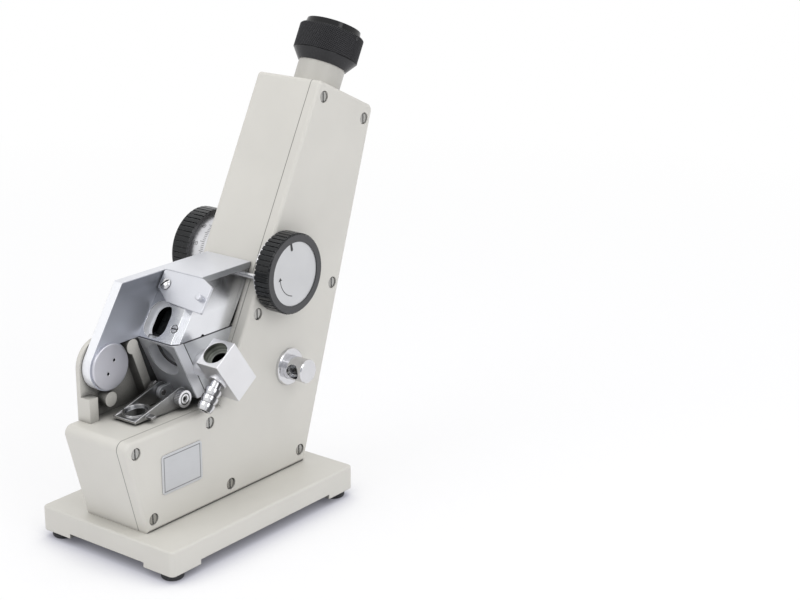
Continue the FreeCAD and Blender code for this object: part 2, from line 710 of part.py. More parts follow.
def add_arc_slot(sketch, x, y, pitch, radius, start, end):
    """A round-ended slot that follows a circle about (x, y) from one angle to a larger one."""
    center = V(x.value, y.value, 0)
    up = V(0, 0, 1)
    a0, a1 = math.radians(start.value), math.radians(end.value)
    outer, inner = [
        sketch.addGeometry(Part.ArcOfCircle(Part.Circle(center, up, reach), a0, a1), False)
        for reach in (pitch.value + radius.value, pitch.value - radius.value)
    ]
    ends = []
    for angle, turn in ((start, math.pi), (end, 0)):
        spot = (x + pitch * cosine(angle), y + pitch * sine(angle))
        base = math.radians(angle.value)
        arc = Part.ArcOfCircle(Part.Circle(V(spot[0].value, spot[1].value, 0), up, radius.value),
                               base + turn, base + turn + math.pi)
        ends.append((sketch.addGeometry(arc, False), spot))
    (first, first_spot), (last, _) = ends
    for cap, cap_end, side, side_end in ((first, 1, inner, 1), (first, 2, outer, 1), (last, 1, outer, 2),
                                         (last, 2, inner, 2)):
        sketch.addConstraint(Sketcher.Constraint("Tangent", cap, cap_end, side, side_end))
    index = sketch.addConstraint(Sketcher.Constraint("Radius", first, radius.value))
    bind(sketch, f"Constraints[{index}]", radius)
    index = sketch.addConstraint(Sketcher.Constraint("Angle", outer, a1 - a0))
    bind(sketch, f"Constraints[{index}]", end - start)
    fix_point(sketch, outer, 3, x, y)
    fix_point(sketch, inner, 3, x, y)
    fix_point(sketch, first, 3, *first_spot)


def make_lock():
    """The wheel that locks the lid: knob, its face plate, and a slotted cam that takes the lid's pin."""
    body = new_body("lock_knob")
    revolve(body, [
        (d.shaft_radius, lock_start), (d.lock_radius, lock_start), (d.lock_radius, lock_end - d.knob_edge),
        (d.lock_radius - d.knob_edge, lock_end), (d.lock_face, lock_end),
        (d.lock_face, lock_end - d.lock_recess), (d.shaft_radius, lock_end - d.lock_recess),
    ])
    add_ribs(body, d.lock_radius, lock_start, lock_end, d.knob_ribs)
    across(body, d.lock_y, d.lock_z)
    body = new_body("lock_plate")
    revolve(body, ring_points(ZERO, d.lock_face, lock_end - d.lock_recess, lock_end - d.lock_recess / 2))
    across(body, d.lock_y, d.lock_z)
    body = new_body("lock_shaft")
    revolve(body, [
        (ZERO, seam_x - d.bush_lip * 2), (d.collar_radius, seam_x - d.bush_lip * 2),
        (d.collar_radius, seam_x - d.clearance), (d.shaft_radius, seam_x - d.clearance),
        (d.shaft_radius, lock_end - d.lock_recess), (ZERO, lock_end - d.lock_recess),
    ])
    across(body, d.lock_y, d.lock_z)
    body = new_body("lock_cam")
    low = cam_low
    sketch = sketch_on(body, "YZ_Plane", low)
    add_circle(sketch, d.lock_y, d.lock_z, d.cam_radius)
    pad(body, sketch, d.cam_thickness)
    sketch = sketch_on(body, "YZ_Plane", low)
    add_circle(sketch, d.lock_y, d.lock_z, d.shaft_radius)
    pocket(body, sketch, d.cam_thickness + d.overrun, along=True)
    reach_y, reach_z = d.pin_y - d.lock_y, d.pin_z - d.lock_z
    pitch = Size(math.hypot(reach_y.value, reach_z.value), f"sqrt({reach_y.text}^2 + {reach_z.text}^2)")
    start = Size(math.degrees(math.atan2(reach_z.value, reach_y.value)),
                 f"(180 + atan({reach_z.text} / {reach_y.text}) / 1 deg)")
    sketch = sketch_on(body, "YZ_Plane", low)
    add_arc_slot(sketch, d.lock_y, d.lock_z, pitch, d.cam_slot, start - d.lock_travel, start)
    pocket(body, sketch, d.cam_thickness + d.overrun, along=True)
    out_y = d.pin_y - (d.pin_z - d.hinge_z) / 4
    out_z = d.pin_z + (d.pin_y - d.hinge_y) / 4
    sketch = sketch_on(body, "YZ_Plane", low)
    add_slot(sketch, (d.pin_y, d.pin_z), (out_y, out_z), d.cam_slot)
    pocket(body, sketch, d.cam_thickness + d.overrun, along=True)


def make_condenser():
    """The little lamp tube on the cover, which turns to light the scale."""
    body = new_body("condenser_flange")
    bore = d.condenser_radius + d.running_gap
    low = half_width
    high = half_width + d.flange_thickness
    revolve(body, ring_points(bore, d.condenser_flange, low, high))
    round_edges(body, d.ring_groove, lambda edge: is_rim(edge, d.condenser_flange, high), chamfer=True)
    across(body, d.condenser_y, d.condenser_z)
    body = new_body("condenser_tube")
    shoulder = half_width + d.clearance
    floor = d.condenser_end - d.condenser_wall
    revolve(body, [
        (d.condenser_bore, d.condenser_root), (d.condenser_neck, d.condenser_root),
        (d.condenser_neck, shoulder), (d.condenser_radius, shoulder), (d.condenser_radius, d.condenser_end),
        (ZERO, d.condenser_end), (ZERO, floor), (d.condenser_bore, floor),
    ])
    end = d.condenser_end
    round_edges(body, d.ring_groove, lambda edge: is_rim(edge, d.condenser_radius, end), chamfer=True)
    sketch = sketch_on(body, "XZ_Plane")
    add_circle(sketch, ZERO, d.window_x, d.window_radius)
    pocket(body, sketch, d.condenser_radius + d.overrun, along=True)
    across(body, d.condenser_y, d.condenser_z)
    body = new_body("condenser_glass")
    revolve(body, ring_points(ZERO, d.condenser_bore, d.window_x - d.window_radius * 2, floor))
    across(body, d.condenser_y, d.condenser_z)


def polar(radius, angle, y=ZERO, z=ZERO):
    """The point at a radius and an angle about (y, z), counted from +Y towards +Z."""
    return (y + radius * cosine(angle), z + radius * sine(angle))


def add_teeth(body, low, teeth, shown, first):
    """Straight-flanked teeth about the body's X axis, one drawn and the others repeated from it."""
    pitch_radius = d.gear_module * teeth / 2
    step = FULL_TURN / teeth
    tip = pitch_radius + d.gear_module * d.tooth_tip_share
    root = pitch_radius - d.gear_module * d.tooth_root_share

    def flank(radius, side):
        lean_in = (radius - pitch_radius) * tangent(d.pressure_angle) / radius * DEGREES
        return polar(radius, first + (step / 4 * (ONE - d.tooth_play_share) - lean_in) * side)

    sketch = sketch_on(body, "YZ_Plane", low)
    add_loop(sketch, [flank(root, -1), flank(tip, -1), flank(tip, 1), flank(root, 1)])
    tooth = pad(body, sketch, d.gear_width)
    span = FULL_TURN if shown.value == teeth.value else step * (shown - ONE)
    repeat_round(body, tooth, shown, span, "X_Axis")


def keep_sector(body, low, depth, reach, middle, half):
    """Cuts away all of a round plate but what lies within an angle of a direction."""
    turn = (FULL_TURN - half * 2) / 4
    sketch = sketch_on(body, "YZ_Plane", low)
    beyond = [polar(reach * 2, middle + half + turn * quarter) for quarter in (0, 1, 2, 3, 4)]
    add_loop(sketch, [(ZERO, ZERO)] + beyond)
    pocket(body, sketch, depth, along=True)


def add_ring(body, low, depth, inner, outer):
    sketch = sketch_on(body, "YZ_Plane", low)
    add_circle(sketch, ZERO, ZERO, outer)
    pad(body, sketch, depth)
    sketch = sketch_on(body, "YZ_Plane", low)
    add_circle(sketch, ZERO, ZERO, inner)
    pocket(body, sketch, depth, along=True)


def add_round(body, low, high, radius):
    sketch = sketch_on(body, "YZ_Plane", low)
    add_circle(sketch, ZERO, ZERO, radius)
    pad(body, sketch, high - low)


def mirror_loop(front, behind, half):
    """The outline of a flat strip that stands at the swing mirror's tilt, from one depth to another."""
    corners = ((-half, front), (half, front), (half, behind), (-half, behind))
    across_y, across_z = cosine(d.swing_tilt), sine(d.swing_tilt)
    return [(along * across_y + down * across_z, along * across_z - down * across_y)
            for along, down in corners]


gear_low = d.gear_x - d.gear_width / 2
gear_high = d.gear_x + d.gear_width / 2
seat_low = d.scale_x + d.scale_thickness
seat_high = d.mirror_x + d.swing_width / 2


def make_index():
    """The scale knob low on the left, on the shaft whose pinion drives the sector."""
    body = new_body("index_knob")
    revolve(body, [
        (d.shaft_radius, d.index_start), (d.index_radius, d.index_start),
        (d.index_radius, d.index_end - d.knob_edge), (d.index_radius - d.knob_edge, d.index_end),
        (d.shaft_radius, d.index_end),
    ])
    add_ribs(body, d.index_radius, d.index_start, d.index_end, d.knob_ribs)
    across(body, index_y, index_z, left=True)
    body = new_body("index_shaft")
    add_round(body, -d.index_end, gear_high, d.shaft_radius)
    add_round(body, gear_low, gear_high, d.gear_module * (d.pinion_teeth / 2 - d.tooth_root_share))
    facing = d.sector_angle + HALF_TURN + FULL_TURN / d.pinion_teeth / 2
    add_teeth(body, gear_low, d.pinion_teeth, d.pinion_teeth, facing)
    place(body, (ZERO, index_y, index_z))


def make_sector():
    """The toothed sector on its journal, with the seats of the scale glass and of the swinging mirror."""
    at = (ZERO, d.scale_y, d.scale_z)
    step = FULL_TURN / d.sector_teeth
    root = d.gear_module * (d.sector_teeth / 2 - d.tooth_root_share)
    body = new_body("scale_sector")
    add_ring(body, gear_low, d.gear_width, d.sector_inner, root)
    keep_sector(body, gear_low, d.gear_width, root, d.sector_angle, step * d.sector_shown / 2)
    first = d.sector_angle - step * (d.sector_shown - ONE) / 2
    add_teeth(body, gear_low, d.sector_teeth, d.sector_shown, first)
    disc_low = d.scale_x - d.scale_thickness
    ledge = d.scale_inner + d.scale_thickness
    add_round(body, disc_low, d.scale_x, ledge)
    keep_sector(body, disc_low, d.scale_thickness, ledge, d.scale_angle, d.scale_half)
    side = d.sector_angle + RIGHT_ANGLE
    reach = d.sector_inner + d.gear_width / 2
    sketch = sketch_on(body, "YZ_Plane", gear_low)
    foot = polar(reach, d.sector_angle)
    add_loop(sketch, [
        polar(d.scale_hub, side), polar(d.scale_hub, side, *foot),
        polar(-d.scale_hub, side, *foot), polar(-d.scale_hub, side),
    ])
    pad(body, sketch, d.gear_width)
    add_round(body, gear_low, d.scale_x, d.scale_hub)
    add_round(body, -(half_width - d.wall), gear_low, d.shaft_radius)
    add_round(body, d.scale_x, d.mirror_x, d.shaft_radius)
    behind = d.swing_thickness + d.swing_block
    sketch = sketch_on(body, "YZ_Plane", seat_low)
    add_loop(sketch, mirror_loop(d.swing_thickness, behind, d.swing_length / 2))
    pad(body, sketch, seat_high - seat_low)
    sketch = sketch_on(body, "YZ_Plane", seat_low)
    add_loop(sketch, mirror_loop(-behind, d.swing_thickness, d.swing_length))
    pocket(body, sketch, seat_high - seat_low, along=True)
    place(body, at)
    body = new_body("swing_mirror")
    sketch = sketch_on(body, "YZ_Plane", seat_low)
    add_loop(sketch, mirror_loop(ZERO, d.swing_thickness, d.swing_length / 2))
    pad(body, sketch, seat_high - seat_low)
    place(body, at)
    body = new_body("scale_glass")
    add_ring(body, d.scale_x, d.scale_thickness, d.scale_inner, d.scale_outer)
    keep_sector(body, d.scale_x, d.scale_thickness, d.scale_outer, d.scale_angle, d.scale_half)
    place(body, at)


def make_scale_bearing():
    """The plain bearing of the sector's journal on the left inner wall, and the prism behind the scale."""
    body = new_body("scale_bearing")
    wall_x = half_width - d.wall
    gear_face = -d.gear_x + d.gear_width / 2
    revolve(body, ring_points(
        d.shaft_radius + d.running_gap, d.bush_radius, gear_face + d.clearance, wall_x))
    across(body, d.scale_y, d.scale_z, left=True)
    body = new_body("scale_prism")
    sketch = sketch_on(body, "YZ_Plane", -wall_x)
    half = d.scale_prism_half
    add_box(sketch, d.condenser_y - half, d.condenser_y + half, d.condenser_z - half, d.condenser_z + half)
    pad(body, sketch, d.scale_prism_depth)


def face_line(z):
    """The lid's sloping front face."""
    return d.face_y + (z - d.joint_z) * tangent(d.face_lean)


def lower_line(z):
    """The lower box's front face, which slopes back towards its foot."""
    return d.front_y + (d.joint_z - z) * tangent(d.box_lean)


def on_lid_face(up):
    return (face_line(d.joint_z) + up * sine(d.face_lean), d.joint_z + up * cosine(d.face_lean))


plate_step = d.plate_thickness / cosine(d.box_lean)
prism_room = d.prism_width / 2 + d.seat_gap
lid_floor = d.joint_z + d.joint_gap
top_floor = d.arm_top - d.top_plate
port_x = d.port_side - d.box_half
shade_x = d.shade_side - d.box_half
face_screw_x = d.box_half - d.face_screw_side


def rear_line(z):
    """The lid's rear edge, a little in front of the tower."""
    return front_line(z) - d.tower_gap / cosine(d.lean)


def make_lower_box():
    """The fixed prism box: a body against the tower, with a cavity that the measuring prism fills."""
    body = new_body("lower_box")
    sketch = sketch_on(body, "YZ_Plane", -d.box_half)
    add_loop(sketch, [
        (lower_line(d.joint_z) + plate_step, d.joint_z), (lower_line(d.box_floor) + plate_step, d.box_floor),
        (front_line(d.box_floor), d.box_floor), (front_line(d.joint_z), d.joint_z),
    ])
    pad(body, sketch, d.box_half * 2)
    round_edges(body, d.edge_round,
                lambda edge: runs_along(edge, X_AXIS) and lies_at(edge, "z", d.box_floor))
    sketch = sketch_on(body, "YZ_Plane")
    add_loop(sketch, [
        (d.prism_front - d.seat_gap, d.joint_z + d.overrun), (d.prism_front - d.seat_gap, d.joint_z),
        (d.prism_apex_y, d.joint_z - d.prism_depth - d.seat_gap),
        (d.prism_back + d.seat_gap, d.joint_z), (d.prism_back + d.seat_gap, d.joint_z + d.overrun),
    ])
    pocket(body, sketch, prism_room * 2, both=True)
    sketch = sketch_on(body, "XZ_Plane", -front_line(beam_z) - d.wall)
    add_circle(sketch, ZERO, beam_z, d.beam_radius)
    pocket(body, sketch, d.prism_depth, along=True)
    sketch = sketch_on(body, "XY_Plane", d.joint_z, (ZERO, lower_line(d.joint_z)), RIGHT_ANGLE + d.box_lean)
    inner = d.window_half - d.window_step
    add_slot(sketch, (ZERO, -d.window_low), (ZERO, -d.window_high), inner)
    pocket(body, sketch, d.plate_thickness * 2)
    body = new_body("measuring_prism")
    sketch = sketch_on(body, "YZ_Plane", -d.prism_width / 2)
    add_loop(sketch, [
        (d.prism_front, d.joint_z), (d.prism_apex_y, d.joint_z - d.prism_depth), (d.prism_back, d.joint_z),
    ])
    pad(body, sketch, d.prism_width)


def make_window_plate():
    """The plate on the lower box's sloping face, with its round-ended window and the mirror's two ears."""
    body = new_body("window_plate")
    sketch = sketch_on(body, "YZ_Plane", -d.box_half)
    add_loop(sketch, [
        (lower_line(d.joint_z), d.joint_z), (lower_line(d.box_floor), d.box_floor),
        (lower_line(d.box_floor) + plate_step, d.box_floor), (lower_line(d.joint_z) + plate_step, d.joint_z),
    ])
    pad(body, sketch, d.box_half * 2)
    for low in (d.ear_x, -d.ear_x - d.ear_thickness):
        sketch = sketch_on(body, "YZ_Plane", low)
        add_loop(sketch, [
            (d.mirror_y, d.mirror_z - d.ear_radius), (lower_line(d.box_floor) + d.overrun, d.box_floor),
            (lower_line(d.mirror_z) + d.overrun, d.mirror_z + d.ear_radius),
            (d.mirror_y, d.mirror_z + d.ear_radius),
        ])
        pad(body, sketch, d.ear_thickness)
        sketch = sketch_on(body, "YZ_Plane", low)
        add_circle(sketch, d.mirror_y, d.mirror_z, d.ear_radius)
        pad(body, sketch, d.ear_thickness)
    sketch = sketch_on(body, "YZ_Plane")
    add_circle(sketch, d.mirror_y, d.mirror_z, d.pivot_shaft)
    pocket(body, sketch, d.box_half * 2, both=True)
    sketch = sketch_on(body, "XY_Plane", d.joint_z, (ZERO, lower_line(d.joint_z)), RIGHT_ANGLE + d.box_lean)
    add_slot(sketch, (ZERO, -d.window_low), (ZERO, -d.window_high), d.window_half)
    pocket(body, sketch, d.plate_thickness + d.overrun)


def make_mirror():
    """The fork that carries the small round mirror, and the two screws that it swings on."""
    place_of = (ZERO, d.mirror_y, d.mirror_z)
    half = d.frame_thickness / 2
    body = new_body("mirror_frame")
    for low in (d.mirror_half - d.fork_width, -d.mirror_half):
        sketch = sketch_on(body, "YZ_Plane", low)
        add_loop(sketch, [
            (ZERO, -d.fork_radius), (-d.mirror_length, -half),
            (-d.mirror_length, half), (ZERO, d.fork_radius),
        ])
        pad(body, sketch, d.fork_width)
        sketch = sketch_on(body, "YZ_Plane", low)
        add_circle(sketch, ZERO, ZERO, d.fork_radius)
        pad(body, sketch, d.fork_width)
    sketch = sketch_on(body, "YZ_Plane", -d.mirror_half)
    add_box(sketch, -d.mirror_length, -d.fork_neck, -half, half)
    pad(body, sketch, d.mirror_half * 2)
    sketch = sketch_on(body, "YZ_Plane")
    add_circle(sketch, ZERO, ZERO, d.pivot_shaft + d.running_gap)
    pocket(body, sketch, d.box_half * 2, both=True)
    sketch = sketch_on(body, "XY_Plane", half)
    add_circle(sketch, ZERO, -d.mirror_offset, d.mirror_radius + d.bezel_width)
    pad(body, sketch, d.bezel_height)
    sketch = sketch_on(body, "XY_Plane", half + d.bezel_height)
    add_circle(sketch, ZERO, -d.mirror_offset, d.mirror_radius)
    pocket(body, sketch, d.bezel_height + d.mirror_sink)
    sketch = sketch_on(body, "YZ_Plane", d.mirror_half)
    add_box(sketch, -d.mirror_offset - d.handle_half, -d.mirror_offset + d.handle_half, -half, half)
    pad(body, sketch, d.handle_length)
    place(body, place_of, (1, 0, 0), d.mirror_tilt)
    body = new_body("mirror_glass")
    sketch = sketch_on(body, "XY_Plane", half - d.mirror_sink)
    add_circle(sketch, ZERO, -d.mirror_offset, d.mirror_radius)
    pad(body, sketch, d.mirror_sink - d.ear_gap)
    place(body, place_of, (1, 0, 0), d.mirror_tilt)
    body = new_body("mirror_screws")
    seat = d.mirror_half + d.ear_gap
    for sign in (1, -1):
        head_low = seat if sign > 0 else -seat - d.pivot_head_length
        sketch = sketch_on(body, "YZ_Plane", head_low)
        add_circle(sketch, d.mirror_y, d.mirror_z, d.pivot_head)
        pad(body, sketch, d.pivot_head_length)
        shaft_low = d.ear_x if sign > 0 else -seat
        sketch = sketch_on(body, "YZ_Plane", shaft_low)
        add_circle(sketch, d.mirror_y, d.mirror_z, d.pivot_shaft)
        pad(body, sketch, seat - d.ear_x)
        face = seat + d.pivot_head_length
        sketch = sketch_on(body, "YZ_Plane", face if sign > 0 else -face)
        add_circle(sketch, d.mirror_y, d.mirror_z, d.pivot_shaft)
        pocket(body, sketch, d.pivot_head_length / 2, along=sign < 0)


def make_thermometer_block():
    """The slanted block beside the lower box, bored for a thermometer, with a hose nozzle below."""
    body = new_body("thermometer_block")
    half_x, half_y, half_z = d.block_wide / 2, d.block_deep / 2, d.block_long / 2
    middle = (d.block_x + half_x, d.block_y, d.block_z)
    sketch = sketch_on(body, "XY_Plane", -half_z)
    add_box(sketch, -half_x, half_x, -half_y, half_y)
    pad(body, sketch, d.block_long)
    round_edges(body, d.edge_round / 2, lambda edge: True)
    sketch = sketch_on(body, "XY_Plane", half_z)
    add_circle(sketch, ZERO, ZERO, d.well_radius)
    pocket(body, sketch, d.well_depth)
    sketch = sketch_on(body, "XY_Plane", half_z)
    add_circle(sketch, ZERO, ZERO, d.bore_radius)
    pocket(body, sketch, d.bore_depth)
    link = d.block_x - d.box_half
    sketch = sketch_on(body, "YZ_Plane", -half_x - link)
    add_circle(sketch, ZERO, ZERO, d.link_radius)
    pad(body, sketch, link + d.edge_round)
    sketch = sketch_on(body, "XZ_Plane", half_y)
    add_circle(sketch, ZERO, ZERO, d.nozzle_collar)
    pad(body, sketch, d.collar_height)
    nozzle_turn = d.nozzle_tilt
    sketch = sketch_on(body, "XY_Plane", ZERO, (ZERO, -half_y), nozzle_turn - d.block_tilt)
    add_circle(sketch, ZERO, ZERO, d.nozzle_radius)
    pocket(body, sketch, d.nozzle_radius * 4, both=True)
    place(body, middle, (1, 0, 0), d.block_tilt)
    body = new_body("hose_nozzle")
    inner, outer = d.nozzle_radius, d.nozzle_radius + d.barb_height
    points = [(d.nozzle_bore, -inner), (inner, -inner), (inner, d.barb_pitch)]
    for barb in range(BARBS):
        low = d.barb_pitch * (barb + 1)
        points.append((outer, low))
        points.append((outer, low + d.barb_pitch / 2))
        points.append((inner + d.barb_height / 2, low + d.barb_pitch))
    points.append((d.nozzle_bore, d.barb_pitch * (BARBS + 1)))
    revolve(body, points)
    start_y = d.block_y - half_y * cosine(d.block_tilt)
    start_z = d.block_z - half_y * sine(d.block_tilt)
    place(body, (d.block_x + half_x, start_y, start_z), (1, 0, 0), nozzle_turn)


def make_bracket():
    """The painted casting at the front left that the lid swings on, with its two stop pillars."""
    body = new_body("hinge_bracket")
    left = -half_width
    depth = half_width - d.bracket_face
    y, z = d.hinge_y, d.hinge_z
    radius = d.bracket_round
    stops = [(y + d.stop_pitch * cosine(angle), z + d.stop_pitch * sine(angle))
             for angle in (d.stop_high, d.stop_low)]
    high_y, high_z = stops[0]
    sketch = sketch_on(body, "YZ_Plane", left)
    add_loop(sketch, [
        (y - radius, block_top), (d.bracket_back, block_top), (high_y + d.stop_radius, high_z),
        (high_y, high_z + d.stop_radius), (y, z + radius), (y - radius, z),
    ])
    pad(body, sketch, depth)
    sketch = sketch_on(body, "YZ_Plane", left)
    add_circle(sketch, y, z, radius)
    pad(body, sketch, depth)
    sketch = sketch_on(body, "YZ_Plane", left + d.bracket_wall)
    post = y - radius + d.bracket_post
    over = d.overrun * 5
    add_loop(sketch, [
        (post, block_top - over), (d.bracket_back - d.bracket_rim, block_top - over),
        (high_y - d.stop_radius / 2, high_z), (high_y - d.stop_radius / 2, z + radius + over),
        (y - radius - over, z + radius + over), (y - radius - over, d.bracket_open), (post, d.bracket_open),
    ])
    pocket(body, sketch, depth, along=True)
    sketch = sketch_on(body, "YZ_Plane", left + d.bracket_wall)
    add_box(sketch, high_y - d.stop_radius, high_y + d.stop_radius * 2, high_z, high_z + d.stop_radius * 4)
    pocket(body, sketch, depth, along=True)
    sketch = sketch_on(body, "YZ_Plane", left)
    for stop_y, stop_z in stops:
        add_circle(sketch, stop_y, stop_z, d.stop_radius)
    pad(body, sketch, depth)
    sketch = sketch_on(body, "YZ_Plane", left + d.edge_round)
    add_circle(sketch, y, z, d.hinge_pin_radius)
    pocket(body, sketch, depth, along=True)
    body = new_body("hinge_pin")
    sketch = sketch_on(body, "YZ_Plane", left + d.edge_round)
    add_circle(sketch, y, z, d.hinge_pin_radius)
    pad(body, sketch, half_width - d.box_half - d.edge_round - d.pin_fit)


def arm_screw_places():
    """The two screws that hold the arm to the box, one each side of the box's middle."""
    middle = (face_line(top_floor) + rear_line(top_floor)) / 2
    return [middle - d.arm_screw_reach, middle + d.arm_screw_reach]


def make_arm_screws():
    body = new_body("arm_screws")
    left = -d.arm_outer
    seat = left + d.sink_depth
    height = top_floor - d.arm_screw_drop
    sketch = sketch_on(body, "YZ_Plane", seat - d.head_height)
    for y in arm_screw_places():
        add_circle(sketch, y, height, d.screw_head)
    pad(body, sketch, d.head_height)
    sketch = sketch_on(body, "YZ_Plane", seat)
    for y in arm_screw_places():
        add_circle(sketch, y, height, d.screw_radius)
    pad(body, sketch, d.pin_seat - d.box_half - seat)
    sketch = sketch_on(body, "YZ_Plane", seat - d.head_height)
    half = d.slot_width / 2
    for y in arm_screw_places():
        add_box(sketch, y - half, y + half, height - d.sink_radius, height + d.sink_radius)
    pocket(body, sketch, d.slot_depth, along=True)


def make_lid():
    """The lid: an angled plate on the hinge, and the prism box that it carries over the lower one."""
    y, z = d.hinge_y, d.hinge_z
    body = new_body("lid_frame")
    left = -d.arm_outer
    plate = d.arm_outer - d.box_half
    sketch = sketch_on(body, "YZ_Plane", left)
    add_loop(sketch, [
        (y, z), (y + d.arm_boss * cosine(d.arm_tangent), z + d.arm_boss * sine(d.arm_tangent)),
        (d.arm_front, d.arm_top), (rear_line(d.arm_top), d.arm_top), (rear_line(lid_floor), lid_floor),
        (y + d.arm_boss / 2, lid_floor),
    ])
    pad(body, sketch, plate)
    sketch = sketch_on(body, "YZ_Plane", left)
    add_circle(sketch, y, z, d.arm_boss)
    pad(body, sketch, plate)
    sketch = sketch_on(body, "YZ_Plane", -d.box_half)
    add_loop(sketch, [
        (face_line(top_floor), top_floor), (rear_line(top_floor), top_floor),
        (rear_line(d.arm_top), d.arm_top), (face_line(d.arm_top), d.arm_top),
    ])
    pad(body, sketch, d.box_half * 2)
    sketch = sketch_on(body, "YZ_Plane", left)
    add_circle(sketch, y, z, d.hinge_pin_radius + d.pin_fit)
    for screw_y in arm_screw_places():
        add_circle(sketch, screw_y, top_floor - d.arm_screw_drop, d.screw_radius)
    pocket(body, sketch, plate, along=True)
    sketch = sketch_on(body, "YZ_Plane", left)
    for screw_y in arm_screw_places():
        add_circle(sketch, screw_y, top_floor - d.arm_screw_drop, d.sink_radius)
    pocket(body, sketch, d.sink_depth, along=True)
    round_edges(body, d.edge_round / 2, lambda edge: lies_at(edge, "z", d.arm_top))
    body = new_body("feed_box")
    sketch = sketch_on(body, "YZ_Plane", -d.box_half)
    add_loop(sketch, [
        (face_line(lid_floor), lid_floor), (rear_line(lid_floor), lid_floor),
        (rear_line(top_floor), top_floor), (face_line(top_floor), top_floor),
    ])
    pad(body, sketch, d.box_half * 2)
    rear_foot = rear_line(lid_floor)
    round_edges(body, d.rear_round, lambda edge: runs_along(edge, X_AXIS) and lies_at(edge, "y", rear_foot))
    round_edges(body, d.face_bevel, lambda edge: lies_at(edge, "x", d.box_half)
                and runs_along(edge, V(0, sine(d.face_lean).value, cosine(d.face_lean).value)), chamfer=True)
    sketch = sketch_on(body, "YZ_Plane")
    add_loop(sketch, [
        (d.feed_front - d.seat_gap, lid_floor), (d.feed_front - d.seat_gap, lid_floor - d.overrun),
        (d.feed_back + d.seat_gap, lid_floor - d.overrun), (d.feed_back + d.seat_gap, lid_floor),
        ((d.feed_front + d.feed_back) / 2, lid_floor + d.feed_rise + d.seat_gap),
    ])
    pocket(body, sketch, prism_room * 2, both=True)
    front = (ZERO, face_line(d.joint_z))
    slope = RIGHT_ANGLE - d.face_lean
    sketch = sketch_on(body, "XY_Plane", d.joint_z, front, slope)
    add_slot(sketch, (port_x, d.port_low), (port_x, d.port_high), d.port_radius)
    pocket(body, sketch, d.port_depth)
    sketch = sketch_on(body, "XY_Plane", d.joint_z, front, slope)
    add_slot(sketch, (port_x, d.port_low), (port_x, d.port_high), d.port_radius - d.port_step)
    pocket(body, sketch, d.port_reach)
    sketch = sketch_on(body, "XY_Plane", d.joint_z, front, slope)
    add_circle(sketch, face_screw_x, d.face_screw_up, d.face_screw_radius)
    add_circle(sketch, shade_x, d.shade_up, d.pivot_shaft)
    pocket(body, sketch, d.face_screw_depth)
    sketch = sketch_on(body, "YZ_Plane", d.box_half)
    add_circle(sketch, d.pin_y, d.pin_z, d.pin_radius)
    pocket(body, sketch, d.pin_seat)
    sketch = sketch_on(body, "YZ_Plane", d.box_half)
    add_circle(sketch, d.inlet_y, lid_floor, d.inlet_radius)
    pocket(body, sketch, d.box_half - d.prism_width / 2)
    sketch = sketch_on(body, "YZ_Plane", -d.box_half)
    for screw_y in arm_screw_places():
        add_circle(sketch, screw_y, top_floor - d.arm_screw_drop, d.screw_radius)
    pocket(body, sketch, d.pin_seat, along=True)
    body = new_body("feed_prism")
    sketch = sketch_on(body, "YZ_Plane", -d.prism_width / 2)
    add_loop(sketch, [
        (d.feed_front, lid_floor), (d.feed_back, lid_floor),
        ((d.feed_front + d.feed_back) / 2, lid_floor + d.feed_rise),
    ])
    pad(body, sketch, d.prism_width)
    body = new_body("hinge_cap")
    sketch = sketch_on(body, "YZ_Plane", -d.box_half)
    add_circle(sketch, y, z, d.hinge_cap_radius)
    pad(body, sketch, d.hinge_cap_thickness)
    face = -d.box_half + d.hinge_cap_thickness
    round_edges(body, d.edge_round / 2, lambda edge: lies_at(edge, "x", face))
    sketch = sketch_on(body, "YZ_Plane", face)
    for side in (1, -1):
        hole_y = y + d.spanner_pitch * side * cosine(d.spanner_angle)
        hole_z = z + d.spanner_pitch * side * sine(d.spanner_angle)
        add_circle(sketch, hole_y, hole_z, d.spanner_radius)
    pocket(body, sketch, d.hinge_cap_thickness - d.edge_round / 2)
    body = new_body("lock_pin")
    sketch = sketch_on(body, "YZ_Plane", d.box_half - d.pin_seat)
    add_circle(sketch, d.pin_y, d.pin_z, d.pin_radius)
    pad(body, sketch, d.pin_seat + cam_low + d.cam_thickness - d.box_half - d.clearance)


